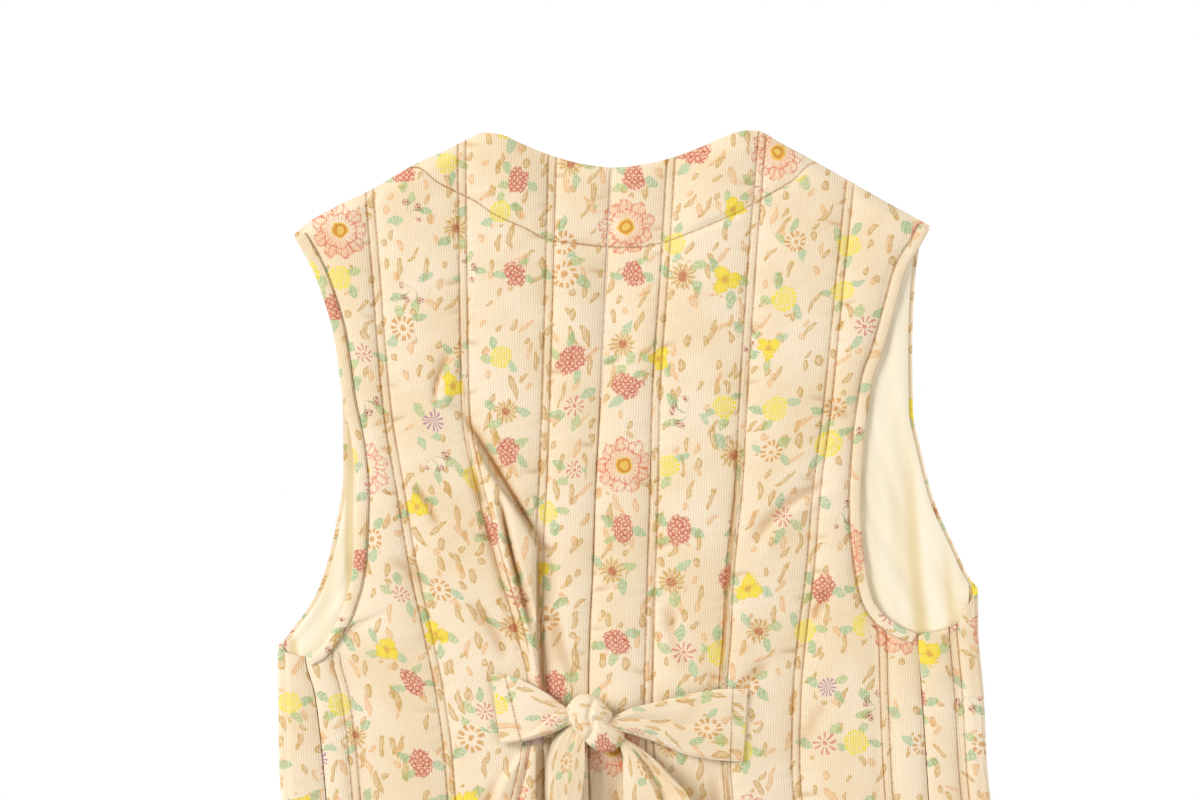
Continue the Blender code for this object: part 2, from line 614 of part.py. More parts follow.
def knot_mesh(name, grow):
    """The knot: the tie wrapped once round itself and pulled tight, flat underneath."""
    shape = bmesh.new()
    bmesh.ops.create_uvsphere(shape, u_segments=32, v_segments=14, radius=1.0)
    for vertex in shape.verts:
        right, up, height = knot_point(*vertex.co)
        height = max(height, 1.2 - KNOT_HALF[2])
        vertex.co = metres(KNOT_CENTRE[0] + right, KNOT_CENTRE[1] - up, KNOT_CENTRE[2] + height)
    bmesh.ops.recalc_face_normals(shape, faces=shape.faces[:])
    shape.normal_update()
    outward = [(vertex, vertex.normal.copy()) for vertex in shape.verts]
    for vertex, normal in outward:
        vertex.co += grow * MM * normal
    mesh = bpy.data.meshes.new(name)
    shape.to_mesh(mesh)
    shape.free()
    return mesh


def cut_clear(piece, cutter):
    """Ends a piece of the tie just short of the knot that grips it."""
    cut = piece.modifiers.new("knot clearance", "BOOLEAN")
    cut.operation = "DIFFERENCE"
    cut.object = cutter
    cut.solver = "EXACT"


PRINTED = (0.87, 0.76, 0.58)
LINING_COLOUR = (0.93, 0.87, 0.70)
BACK_ROWS = (0.008, *np.linspace(0, 0.5, 17), *np.linspace(0.61, 1, 14), 0.992)
UNDERARM_ROWS_LEFT = (0.525, 0.543, 0.556, 0.567, 0.583)
UNDERARM_ROWS_RIGHT = (0.515, 0.531, 0.5417, 0.557, 0.58)
FRONT_ROWS = sorted({*np.linspace(0, 1, 19), 0.44, 0.475, 0.505, 0.53, 0.545, 0.558, 0.563, 0.575, 0.59})
LINING_ROWS = np.linspace(0, 1, 21)


def main():
    for old in list(bpy.data.objects):
        bpy.data.objects.remove(old, do_unlink=True)
    parts = bpy.data.collections.new("quilted waistcoat")
    cutters = bpy.data.collections.new("cutters")
    bpy.context.scene.collection.children.link(parts)
    bpy.context.scene.collection.children.link(cutters)
    halves = []
    for hand, is_left in (("left", True), ("right", False)):
        front("front_" + hand, is_left, PRINTED, parts)
        lining("lining_" + hand, is_left, LINING_COLOUR, parts)
        halves.append(back_half("back_" + hand, is_left, PRINTED, parts))
    back = Ground(halves)
    for hand, is_left in (("left", True), ("right", False)):
        armhole_band("armhole_band_" + hand, is_left, back, PRINTED, parts)
    straps = [
        strap("tie_strap_left", STRAP_LEFT, back, PRINTED, parts),
        strap("tie_strap_right", STRAP_RIGHT, back, PRINTED, parts),
    ]
    under_bow = Ground(halves + straps)
    tied = [
        *straps,
        tail("tie_tail_left", TAIL_LEFT, under_bow, PRINTED, parts),
        tail("tie_tail_right", TAIL_RIGHT, under_bow, PRINTED, parts),
        loop("tie_loop_left", LOOP_LEFT, under_bow, PRINTED, parts),
        loop("tie_loop_right", LOOP_RIGHT, under_bow, PRINTED, parts),
    ]
    finish(knot_mesh("tie_knot", 0.0), "tie_knot", PRINTED, parts)
    cutter = finish(knot_mesh("knot_clearance", SEAM_GAP), "knot_clearance", PRINTED, cutters)
    cutter.hide_render = True
    cutter.display_type = "WIRE"
    for piece in tied:
        cut_clear(piece, cutter)


main()
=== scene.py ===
"""The looks of a quilted cotton waistcoat that lies face down, its back tie done up in a bow.

Sizes in the tables are millimetres: x to the right, level down the garment from the neck points, z up.
"""

import math

import bmesh
import bpy
import numpy as np
from mathutils.bvhtree import BVHTree
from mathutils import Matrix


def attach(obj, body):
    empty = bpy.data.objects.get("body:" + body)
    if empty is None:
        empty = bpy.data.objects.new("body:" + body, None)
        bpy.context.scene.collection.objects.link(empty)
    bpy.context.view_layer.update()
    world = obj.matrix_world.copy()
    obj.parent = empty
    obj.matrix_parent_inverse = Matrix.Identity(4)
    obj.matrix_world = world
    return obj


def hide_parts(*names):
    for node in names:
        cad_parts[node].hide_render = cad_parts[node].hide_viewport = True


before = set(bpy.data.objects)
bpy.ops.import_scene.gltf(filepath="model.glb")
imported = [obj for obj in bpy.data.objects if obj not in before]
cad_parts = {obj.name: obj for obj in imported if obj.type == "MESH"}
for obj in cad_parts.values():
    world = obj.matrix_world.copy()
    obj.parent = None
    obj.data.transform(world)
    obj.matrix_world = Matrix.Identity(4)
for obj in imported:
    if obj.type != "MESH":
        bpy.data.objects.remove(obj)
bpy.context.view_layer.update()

# The set: a glowing white table top under soft light from the left, seen from straight above as in the
# photograph. The camera frames 840 by 560 mm, from above the neck down to just below the bow.
MM = 0.001
MIDDLE_LEVEL = 300.3
VIEW_CENTRE = (-29.0, 111.3)
VIEW_WIDTH = 840.0
CAMERA_HEIGHT = 2600.0
CLOTH_LEVEL = 8.0
SENSOR = 36.0
TABLE_HALF = 6.0
TABLE_LEVEL = -0.2


def linear(red, green, blue):
    """A screen colour, 0 to 255, as the linear colour that a shader takes."""
    shares = [value / 255 for value in (red, green, blue)]
    return (*[s / 12.92 if s < 0.04045 else ((s + 0.055) / 1.055) ** 2.4 for s in shares], 1.0)


camera_data = bpy.data.cameras.new("camera")
camera_data.sensor_width = SENSOR
camera_data.lens = SENSOR * CAMERA_HEIGHT / VIEW_WIDTH
camera_data.clip_end = 20.0
camera = bpy.data.objects.new("camera", camera_data)
camera.location = (VIEW_CENTRE[0] * MM, VIEW_CENTRE[1] * MM, (CAMERA_HEIGHT + CLOTH_LEVEL) * MM)
bpy.context.scene.collection.objects.link(camera)
bpy.context.scene.camera = camera

# Name, place x, y, z and size in metres, and watts of each lamp.
LIGHTS = (
    ("key_light", -4.8, 2.0, 3.7, 2.6, 314.0),
    ("fill_light", 2.3, -0.4, 2.2, 2.5, 31.0),
)
for name, x, y, z, size, watts in LIGHTS:
    lamp = bpy.data.lights.new(name, "AREA")
    lamp.shape = "SQUARE"
    lamp.size = size
    lamp.energy = watts
    lamp.color = (1.0, 0.985, 0.96)
    light = bpy.data.objects.new(name, lamp)
    light.location = (x, y, z)
    towards = -light.location.normalized()
    light.rotation_euler = towards.to_track_quat("-Z", "Y").to_euler()
    bpy.context.scene.collection.objects.link(light)

world = bpy.data.worlds.new("studio")
world.use_nodes = True
sky = world.node_tree.nodes["Background"]
sky.inputs["Color"].default_value = (1.0, 0.95, 0.86, 1.0)
sky.inputs["Strength"].default_value = 0.46
bpy.context.scene.world = world
bpy.context.scene.view_settings.view_transform = "Standard"
bpy.context.scene.view_settings.look = "None"

table_shape = bmesh.new()
bmesh.ops.create_grid(table_shape, x_segments=1, y_segments=1, size=TABLE_HALF)
bmesh.ops.translate(table_shape, verts=table_shape.verts, vec=(0, 0, TABLE_LEVEL * MM))
table_mesh = bpy.data.meshes.new("table_top")
table_shape.to_mesh(table_mesh)
table_shape.free()
table_top = bpy.data.objects.new("table_top", table_mesh)
bpy.context.scene.collection.objects.link(table_top)
table_paint = bpy.data.materials.new("white_table")
table_paint.use_nodes = True
table_shader = table_paint.node_tree.nodes["Principled BSDF"]
table_shader.inputs["Base Color"].default_value = (0.0, 0.0, 0.0, 1.0)
table_shader.inputs["Specular IOR Level"].default_value = 0.0
table_shader.inputs["Emission Color"].default_value = (1.0, 1.0, 1.0, 1.0)
table_shader.inputs["Emission Strength"].default_value = 1.0
table_mesh.materials.append(table_paint)


# The cloth of the outside: cream babycord with a small flower print, in fine ribs down the length.
# It is dyed in the shader: flowers, berries and leaves, and between them short brush strokes of tan.
# The shader also paints shade into the grooves between ribs, beside the stitching and into the creases.
RIB_PITCH = 1.75
STITCH_OFFSET = 2.75
WHOLE_TURN = 6.283
AWAY = 99.0
CREAM = linear(249, 235, 213)
WARM_CREAM = linear(244, 226, 196)


class Strand:
    """A value in a material's nodes, for Python's own operators to work on."""

    def __init__(self, tree, socket=None):
        self.tree = tree
        self.socket = socket

    def node(self, kind, settings=None, inputs=None, output=0):
        """Adds a node, sets it up, and gives one of its outputs."""
        made = self.tree.nodes.new(kind)
        for key, value in (settings or {}).items():
            setattr(made, key, value)
        for key, value in (inputs or {}).items():
            if isinstance(value, Strand):
                self.tree.links.new(value.socket, made.inputs[key])
            else:
                made.inputs[key].default_value = value
        return Strand(self.tree, made.outputs[output])

    def maths(self, operation, *values):
        return self.node("ShaderNodeMath", {"operation": operation}, dict(enumerate(values)))

    def __rsub__(self, other):
        return self.maths("SUBTRACT", other, self)

    def above(self, low, high):
        """0 below low and 1 above high, smooth between. With low over high it runs the other way."""
        settings = {"interpolation_type": "SMOOTHSTEP", "clamp": True}
        ends = {1: low, 2: high, 3: 0.0, 4: 1.0} if low <= high else {1: high, 2: low, 3: 1.0, 4: 0.0}
        return self.node("ShaderNodeMapRange", settings, {0: self, **ends})

    def mixed(self, share, first, second, how="MIX"):
        """A share of the second colour over the first."""
        settings = {"data_type": "RGBA", "blend_type": how}
        return self.node("ShaderNodeMix", settings, {0: share, 6: first, 7: second}, output=2)

    def blend(self, share, *screen):
        """This colour, with a share of a screen colour over it."""
        return self.mixed(share, self, linear(*screen))

    def shaded(self, share, *screen):
        """This colour multiplied by a share of a screen colour."""
        return self.mixed(share, self, linear(*screen), "MULTIPLY")

    def also(self, output):
        """Another output of this value's node."""
        return Strand(self.tree, self.socket.node.outputs[output])


OPERATIONS = {
    "__add__": "ADD", "__radd__": "ADD", "__sub__": "SUBTRACT", "__mul__": "MULTIPLY", "__rmul__": "MULTIPLY",
    "__truediv__": "DIVIDE", "__abs__": "ABSOLUTE", "root": "SQRT", "wave": "COSINE", "swell": "SINE",
    "larger": "MAXIMUM", "smaller": "MINIMUM",
}


def operator(operation):
    return lambda strand, *others: strand.maths(operation, strand, *others)


for method, operation in OPERATIONS.items():
    setattr(Strand, method, operator(operation))


def scattered(start, x, y, cell, jitter):
    """The nearest of a scatter of points: place about it in millimetres, and three random numbers for it."""
    at = start.node("ShaderNodeCombineXYZ", inputs={0: x / cell, 1: y / cell})
    inputs = {"Vector": at, "Scale": 1.0, "Randomness": jitter}
    place = start.node("ShaderNodeTexVoronoi", {"voronoi_dimensions": "2D"}, inputs, output="Position")
    px = place.node("ShaderNodeSeparateXYZ", inputs={0: place})
    first = place.node("ShaderNodeSeparateColor", inputs={0: place.also("Color")})
    return x - px * cell, y - px.also(1) * cell, first, first.also(1), first.also(2)


def turned(x, y, angle):
    """Place after a turn, and its distance and direction from the middle."""
    c, s = angle.wave(), angle.swell()
    along, across = x * c + y * s, y * c - x * s
    far = (along * along + across * across).root()
    return along, across, far, across.maths("ARCTAN2", across, along)


def blank_cloth(name):
    """A material, a start for its nodes, and the place on the piece's cloth map in millimetres."""
    material = bpy.data.materials.new(name)
    material.use_nodes = True
    start = Strand(material.node_tree)
    uv = start.node("ShaderNodeUVMap", {"uv_map": "cloth"})
    u = uv.node("ShaderNodeSeparateXYZ", inputs={0: uv})
    return material, start, u * 1000.0, u.also(1) * 1000.0


def mark_of(start, name):
    """One of the marks that the points of each piece carry."""
    return start.node("ShaderNodeAttribute", {"attribute_name": name}, output="Fac")


def noise(start, at, scale, detail, output=0):
    inputs = {"Vector": at, "Scale": scale, "Detail": detail}
    return start.node("ShaderNodeTexNoise", {"noise_dimensions": "2D"}, inputs, output)


def made_up(material, colour, raised, relief, settings):
    """The material with its colour, its relief and its other settings joined to the shader."""
    shader = material.node_tree.nodes["Principled BSDF"]
    bump = raised.node("ShaderNodeBump", inputs={"Height": raised, "Distance": 0.001, "Strength": relief})
    colour.tree.links.new(colour.socket, shader.inputs["Base Color"])
    colour.tree.links.new(bump.socket, shader.inputs["Normal"])
    for key, value in settings.items():
        shader.inputs[key].default_value = value
    return material


def printed_cloth(name):
    """Cream babycord with the flower print, with painted shade at its marks of stitching and creases."""
    material, start, u, v = blank_cloth(name)
    across, facing, middle, deep = (mark_of(start, key) for key in ("across", "facing", "middle", "deep"))

    # A hand's unevenness bends every drawn line a little.
    at = start.node("ShaderNodeCombineXYZ", inputs={0: u, 1: v})
    wobble = noise(start, at, 0.12, 1.0, "Color")
    bent = wobble.node("ShaderNodeSeparateColor", inputs={0: wobble})
    x, y = u + (bent - 0.5) * 4.0, v + (bent.also(1) - 0.5) * 4.0
    soft = noise(start, at, 0.018, 3.0)
    wash = noise(start, at, 0.45, 2.0)

    # Small motifs, one to a cell of 41 mm.
    mx, my, kind, spin, size = scattered(start, x, y, 41.0, 0.66)
    grow = 1.22 - 0.3 * size
    mx, my = mx * grow, my * grow
    along, aside, far, turn = turned(mx, my, spin * WHOLE_TURN)

    def sort(low, high):
        return kind.above(low - 0.0005, low) * kind.above(high, high - 0.0005)

    # Coral flowers, far apart and large.
    cx, cy, coral_pick, coral_spin, _ = scattered(start, x + 31.0, y - 17.0, 104.0, 0.7)
    *_, c_far, c_turn = turned(cx, cy, coral_spin * WHOLE_TURN)
    is_coral = coral_pick.above(0.55, 0.551)
    coral_edge = 17.0 + 3.4 * abs((c_turn * 4.5).wave()) + (wash - 0.5) * 4.0
    coral = is_coral * (coral_edge - c_far).above(0.0, 1.6)
    clear = 1.0 - is_coral * (27.0 - c_far).above(0.0, 3.0)

    # Tan brush strokes between, darker round the rim, some of them bent like a comma.
    colour = start.mixed(soft.above(0.3, 0.7), CREAM, WARM_CREAM)
    room = far.above(10.0, 12.0) * (1.0 - is_coral * (22.0 - c_far).above(0.0, 2.0))
    tan, peach = (206, 165, 84), (237, 188, 134)
    for cell, offset, tilt, ink in ((17.5, 0.0, 1.3, tan), (23.0, 47.0, 1.8, peach), (30.0, 90.0, 1.0, tan)):
        dx, dy, pick, lean, length = scattered(start, x + offset, y + offset, cell, 0.8)
        d_along, d_aside, *_ = turned(dx, dy, 1.35 + (lean - 0.5) * tilt)
        d_aside = d_aside + d_along * d_along * 0.09 * (pick - 0.6)
        long = 3.0 + 6.4 * length * length
        broad = 1.4 + 0.9 * lean
        shape = (d_along / long) * (d_along / long) + (d_aside / broad) * (d_aside / broad)
        stroke = shape.above(1.25, 0.75) * pick.above(0.16, 0.161) * room
        hollow = 1.0 - 0.55 * shape.above(0.7, 0.15) * (0.3 + 0.7 * d_aside.above(-1.2, 1.2))
        colour = colour.blend(stroke * hollow * (0.26 + 0.95 * wash), *ink)

    # Leaves beside each motif, hatched along their veins.
    greens = ((140, 193, 140), (164, 200, 132), (150, 200, 160))
    for angle, reach, mint in zip((0.9, 2.1, -1.9), (13.5, 12.5, 13.0), greens):
        leaf_c, leaf_s = math.cos(angle), math.sin(angle)
        l_along = along * leaf_c + aside * leaf_s - reach
        l_aside = aside * leaf_c - along * leaf_s + l_along * 0.25
        width = 3.9 - 0.09 * l_along * l_along
        leaf = (width - abs(l_aside)).above(0.0, 0.9) * clear
        vein = 0.9 - 0.4 * (l_along * 1.9 + abs(l_aside) * 1.5).wave().above(0.2, 0.9)
        colour = colour.blend(leaf * vein * (0.36 + 0.72 * wash), *mint)

    # Yellow pansies of three broad petals.
    edge = 6.0 + 4.6 * abs((turn * 1.5).wave()) + (wash - 0.5) * 7.0
    pansy = sort(0.0, 0.21) * (edge - far).above(0.0, 1.2) * clear
    colour = colour.blend(pansy * (0.7 + 0.4 * wash), 248, 228, 70)
    colour = colour.blend(pansy * (far - edge).above(-2.4, -0.4) * wash, 224, 186, 76)
    colour = colour.blend(pansy * abs((turn * 1.5).wave()).above(0.3, 0.05) * 0.4, 214, 170, 70)
    colour = colour.blend(pansy * far.above(3.4, 1.4) * 0.65, 222, 158, 96)
    # Yellow pompoms, hatched outwards.
    pompom = sort(0.21, 0.38) * far.above(9.6, 8.4) * clear
    hatch = (turn * 15.0 + far * 1.1).wave().above(-0.3, 0.5) * abs(far - 5.6).above(0.2, 1.0)
    colour = colour.blend(pompom * (0.34 + 0.8 * hatch * (0.5 + wash)), 244, 230, 80)
    # Tan rosettes: a dotted ring about a dot.
    petals = (turn * 11.0).wave().above(-0.7, 0.2) * abs(far - 6.8).above(2.3, 1.4)
    rosette = sort(0.38, 0.46) * (petals + far.above(2.4, 1.7)).smaller(1.0) * clear
    colour = colour.blend(rosette * (0.45 + 0.6 * wash), 216, 158, 82)
    # Golden daisies, full of fine petals, with a red-brown eye.
    fringe = 9.2 + 1.2 * (turn * 13.0).wave() + (wash - 0.5) * 3.0
    daisy = sort(0.46, 0.56) * (fringe - far).above(0.0, 1.2) * clear
    fine = (turn * 13.0 + wash * 3.0).wave().above(-0.8, 0.6)
    colour = colour.blend(daisy * (0.25 + 0.65 * fine * (0.4 + wash)), 212, 172, 94)
    colour = colour.blend(daisy * far.above(4.4, 2.2) * (0.25 + 0.9 * wash), 190, 104, 74)
    # Berry clusters, ringed in dark rose.
    bx, by, *_ = scattered(start, x, y, 4.2, 0.25)
    bead = (bx * bx + by * by).root()
    oval = along * along * 0.75 + aside * aside * 1.3 + (wash - 0.5) * 110.0 + (bent - 0.5) * along * 9.0
    cluster = sort(0.56, 0.73) * oval.above(104.0, 84.0) * clear
    colour = colour.blend(cluster * 0.7, 238, 184, 158)
    skins = abs(bead - 1.6).above(0.8, 0.2) * (0.4 + 0.75 * wash)
    colour = colour.blend(cluster * skins, 196, 90, 78)
    # Sprigs: heads of burgundy beads in an arc over fine green stems.
    sprig = sort(0.73, 0.84)
    heads = (turn * 5.0).wave().above(-0.45, 0.1) * abs(far - 9.6).above(2.6, 1.8) * aside.above(-1.0, 1.0)
    beads = (turn * 20.0 + far * 1.4).wave().above(-0.5, 0.3) * (far * 2.6).wave().above(-0.8, 0.2)
    stems = (turn * 5.0 + far * 0.12).wave().above(0.86, 0.98)
    stems = stems * far.above(8.2, 7.2) * aside.above(-1.5, 0.5)
    colour = colour.blend(sprig * stems * 0.6 * clear, 132, 176, 124)
    colour = colour.blend(sprig * heads * (0.25 + 0.65 * beads) * clear, 168, 66, 70)
    # Pale pink daisies, drawn in line.
    rays = (turn * 9.0).wave().above(0.1, 0.7) * abs(far - 4.8).above(2.7, 2.0)
    outline = (rays + far.above(1.7, 1.1)).smaller(1.0)
    colour = colour.blend(sort(0.84, 0.95) * outline * 0.72 * clear, 214, 120, 116)
    # A few mauve stars.
    star = sort(0.95, 1.0) * (turn * 12.0).wave().above(-0.1, 0.5) * far.above(8.2, 7.0) * clear
    colour = colour.blend(star * 0.75, 168, 108, 172)
    # The coral flowers themselves: petals in two rounds, outlined, with a yellow eye.
    inner_edge = 10.5 + 2.0 * abs((c_turn * 3.5 + 0.8).wave())
    lines = abs(c_far - coral_edge + 1.2).above(0.9, 0.3).larger(abs(c_far - inner_edge).above(0.9, 0.3))
    veins = (c_turn * 22.0 + wash * 5.0).wave().above(0.1, 0.8) * c_far.above(6.0, 9.0)
    splits = abs((c_turn * 4.5).wave()).above(0.22, 0.08) * c_far.above(9.0, 11.0)
    colour = colour.blend(coral * (0.05 + 0.65 * wash) * soft.above(0.35, 0.6), 240, 168, 132)
    colour = colour.blend(coral * veins * 0.45, 230, 138, 106)
    colour = colour.blend(coral * lines.larger(splits) * (0.15 + 0.9 * wash), 222, 108, 74)
    eye = is_coral * c_far.above(6.2, 5.4)
    colour = colour.blend(eye * 0.9, 238, 200, 92)
    colour = colour.blend(eye * abs(c_far - 3.6).above(1.3, 0.7) * 0.8, 214, 140, 60)

    # Ribs: painted shade darkens the grooves between them a little, more in some places than others.
    rib = (u * (2 * math.pi / RIB_PITCH)).wave() * 0.5 + 0.5
    worn = noise(start, at, 1.1, 2.0)
    colour = colour.shaded((1.0 - rib) * 0.42 * (0.5 + 0.9 * worn), 226, 208, 182)

    # Stitching: two brown rows to a seam, one along the facing, with painted shade beside them.
    row = abs(abs(across) - STITCH_OFFSET).smaller(abs(facing) * 0.85).smaller(abs(middle) * 0.8)
    pulled = row.above(1.7, 0.2)
    between = abs(across).above(STITCH_OFFSET, 0.6 * STITCH_OFFSET)
    thread = row.above(0.60, 0.2)
    spotty = soft.above(0.40, 0.60) * 0.5 + wash.above(0.42, 0.62) * 0.5
    # Painted shade on the strip between a seam's two rows and in the pulled-in groove along each row.
    colour = colour.shaded(between * 0.20, 232, 222, 204)
    colour = colour.shaded(pulled * (0.10 + 0.40 * spotty), 222, 190, 144)
    colour = colour.blend(thread * (0.34 + 0.40 * spotty), 150, 104, 56)
    # Little light comes back out of the deepest creases.
    colour = colour.shaded(deep.above(0.1, 2.0) * 0.7, 212, 182, 140)
    colour = colour.blend(deep.above(1.7, 2.9) * 0.7, 146, 100, 54)

    raised = rib * 0.22 + worn * 0.16 + (1.0 - thread) * 0.40
    settings = {"Roughness": 0.92, "Specular IOR Level": 0.15, "Sheen Weight": 0.12, "Sheen Roughness": 0.4}
    return made_up(material, colour, raised, 0.55, settings)


printed = printed_cloth("printed_babycord")


# The back: two quilted halves joined down the middle, with channels of wadding between double rows of
# stitching. Each is a wall of cloth whose inner side lies flat on the fronts. Where the tie draws the waist
# in, the channels ride over each other in soft rolls.
# Name of each half, whether it is the left one, and which way along x is outward.
HALVES = (("left", True, -1.0), ("right", False, 1.0))
LENGTH = 600.0
BACK_INSIDE = 6.0
STITCHED = 1.8
CREST = 5.2
SEAM_GAP = 0.3
STRIP_HALF = 2.75
BAND_WIDTH = 8.5
UNDERARM_LEVEL = 334.0
D_LEAN = 0.12
D_SHARE_ABOVE = 0.45
PLAIN_SEAM_HALF = 0.4
GATHER_HEIGHT = 0.7
GATHER_PITCH = 8.5
FACING_DENT = 0.55
EDGE_TAPER = 11.0
FULL_CHANNEL = 26.0
EDGE_DROP = 2.5
NECK_MIDDLE = -17.0
FRONT_NECK_DEPTH = 210.0
FRONT_NECK_HALF = 92.0
SEAM_COLUMNS = ("level", "c_left", "b_left", "a_left", "centre", "a_right", "b_right", "c_right")
SEAM_ROWS = (
    (0, -194, -126, -62, -20, 22, 85, 150),
    (85, -187, -125, -64, -24, 17, 78, 141),
    (195, -178, -123, -67, -29, 10, 71, 130),
    (250, -169, -113, -69, -32, 9, 68, 123),
    (310, -159, -97, -72, -34, 7, 62, 118),
    (350, -150, -85, -72, -36, 6, 60, 113),
    (395, -141, -76, -68, -37, 5, 57, 109),
    (440, -135, -82, -66, -37, 6, 59, 108),
    (490, -132, -92, -66, -35, 8, 63, 112),
    (600, -131, -97, -61, -27, 15, 71, 122),
)
SHOULDER_LEFT = ((-243.5, 73), (-229.5, 62), (-209, 51), (-190, 42), (-157, 23), (-137, 14), (-119, 5))
SHOULDER_RIGHT = ((97, 8.5), (121, 21.5), (144, 34.5), (172, 50.5), (202.5, 67))
BACK_TOP = (
    *SHOULDER_LEFT, (-110, 1.5), (-97, 3.5), (-86, 8.5), (-66, 16.5), (-41, 23.5), (-19, 26), (3, 23.5),
    (20, 19.5), (41, 12), (56, 5.5), (67, 1.5), (76, 0), (82, 0.5), *SHOULDER_RIGHT,
)
BACK_ARMHOLE_LEFT = (
    (73, -243.5), (92, -232.5), (111, -224.5), (143, -215), (188, -208.5), (221, -202), (254, -199),
    (292, -200), (316, -203), (330, -207), (342, -211.5), (352, -217), (364, -226), (369, -235),
    (395, -228.5), (440, -223), (490, -219), (600, -214),
)
BACK_ARMHOLE_RIGHT = (
    (67, 202.5), (83, 193.5), (98, 184.5), (121, 178), (155, 168.5), (175, 161.5), (222, 155), (259, 153),
    (285, 154), (314, 158), (326, 161), (338.5, 168), (348, 181), (353, 192.5),
    (395, 196), (440, 199), (490, 202), (600, 207),
)
# Armhole, place of the last double row between C and the side seam, and level of the armhole's foot.
LAST_ROWS = {"left": (BACK_ARMHOLE_LEFT, 0.76, 369.0), "right": (BACK_ARMHOLE_RIGHT, 0.70, 353.0)}
FACING = (
    (-240, 58), (-158, 26), (-142, 37), (-126, 45), (-116, 50), (-103, 59), (-79, 70), (-67.5, 76), (-49, 79),
    (-15, 82), (-4, 82), (14, 79), (26, 75), (58, 62), (67, 58), (86, 47), (105, 36), (121, 23), (200, 40),
)
ROLL_HEIGHT = ((205, 0), (225, 4.2), (260, 7.2), (330, 7.8), (395, 6), (430, 4.8))
ROLL_EDGE_SHARE = ((205, 0.04), (233, 0.17), (247, 0.30), (266, 0.58), (281, 0.80), (292, 1.0))
ROLL_SPLIT_SHARE = ((255, 0.30), (300, 0.38), (345, 0.78))
FLARE_HEIGHT = ((422, 0), (440, 5), (490, 6), (600, 5))
FLARE_EDGE = ((422, -76), (436, -84), (453, -96), (470, -105), (490, -110), (520, -113), (600, -115))
OVERLAP_HEIGHT = ((240, 0), (320, 2.5), (372, 4.5), (430, 4.5), (500, 3.5), (600, 2.5))
# Place of each seam across the cloth, from C on the left to C on the right.
SEAM_CLOTH = (-169, -104, -41, 0, 41, 104, 169)
# Creases pulled into the cloth by the tie and the armholes: from, to, sideways bow, half width, height.
CREASE_COLUMNS = ("x1", "level1", "x2", "level2", "bow", "half_width", "height")
CREASES = (
    (-126, 196, -71, 288, -1, 4.6, -1.3),
    (-127, 196, -70, 290, -1, 1.5, -1.9),
    (-120, 232, -91, 340, 1, 2.6, -1.5),
    (-99, 258, -77, 350, 1, 3.6, -1.2),
    (-100, 256, -76, 352, 1, 1.3, -1.6),
    (-66, 280, -68, 400, -3, 7.0, -0.9),
    (-71, 284, -66, 408, 2.5, 1.7, -2.6),
    (77, 120, 69, 245, 0, 1.2, -1.0),
    (69, 225, 55, 398, 1, 1.7, -2.4),
    (57, 440, 66, 500, 0, 1.5, -1.8),
    (8, 290, 8, 400, 0, 1.1, -1.5),
    (-134, 152, -145, 192, 3, 3.2, -1.2),
    (-133, 156, -145, 190, 3, 1.3, -1.2),
    (-128, 158, -137, 200, 2, 4.0, 1.2),
    (-160, 247, -141, 280, -2, 3.6, -1.2),
    (-159, 250, -144, 276, -2, 1.4, -1.1),
    (132, 246, 76, 290, 6, 5.0, -1.6),
    (136, 252, 84, 300, 6, 6.0, 1.0),
    (129, 190, 147, 202, 1, 4.0, -1.2),
    (133, 321, 120, 345, 2, 4.5, -1.4),
    (-31, 272, -16, 270, 0, 3.0, -0.8),
    (-118, 240, -108, 262, 1, 4.0, -1.2),
    (-176, 300, -150, 322, -3, 5.0, -1.2),
    (-186, 345, -150, 352, 4, 6.0, 1.2),
    (-120, 330, -96, 372, -4, 5.0, -1.4),
    (-60, 340, -44, 392, 3, 4.5, -1.2),
    (18, 330, 40, 384, 4, 6.0, -1.6),
    (24, 345, 50, 392, 4, 5.0, 1.2),
    (90, 372, 64, 398, 2, 5.0, -1.3),
    (-100, 452, -120, 520, 3, 5.0, -1.4),
    (-52, 446, -50, 560, -4, 5.0, -1.6),
    (-20, 452, -12, 540, 3, 5.0, -1.3),
    (24, 450, 34, 560, 4, 6.0, -1.5),
    (48, 448, 50, 520, -3, 5.0, -1.2),
    (128, 400, 112, 436, 2, 5.0, -1.2),
    (150, 300, 168, 352, 4, 5.0, -1.2),
)
# Short puckers that run from the stitching into the cloth: how far apart down a seam, how long and how deep.
PUCKER_PITCH = 36.0
PUCKER_LENGTH = 15.0
PUCKER_HALF_WIDTH = 1.9
PUCKER_DEPTH = 1.0


def curve(rows, at):
    """Value at each place on a smooth curve through (place, value) rows, with no overshoot between them."""
    place, value = np.array(rows, float).T
    secant = np.diff(value) / np.diff(place)
    same = secant[:-1] * secant[1:] > 0
    total = np.where(same, secant[:-1] + secant[1:], 1.0)
    middle = np.where(same, 2 * secant[:-1] * secant[1:] / total, 0.0)
    slope = np.concatenate([secant[:1], middle, secant[-1:]])
    at = np.clip(at, place[0], place[-1])
    i = np.clip(np.searchsorted(place, at) - 1, 0, len(place) - 2)
    width = place[i + 1] - place[i]
    t = (at - place[i]) / width
    return (
        value[i] * (1 + 2 * t) * (1 - t) ** 2
        + slope[i] * width * t * (1 - t) ** 2
        + value[i + 1] * t * t * (3 - 2 * t)
        + slope[i + 1] * width * t * t * (t - 1)
    )


def ease(value, low, high):
    """0 below low, 1 above high, and smooth between them."""
    t = np.clip((value - low) / (high - low), 0, 1)
    return t * t * (3 - 2 * t)


def listed(columns, rows, name, level):
    """Where a named line of a table crosses a level."""
    i = columns.index(name)
    return curve([(row[0], row[i]) for row in rows], level)


def seam(name, level):
    return listed(SEAM_COLUMNS, SEAM_ROWS, name, level)


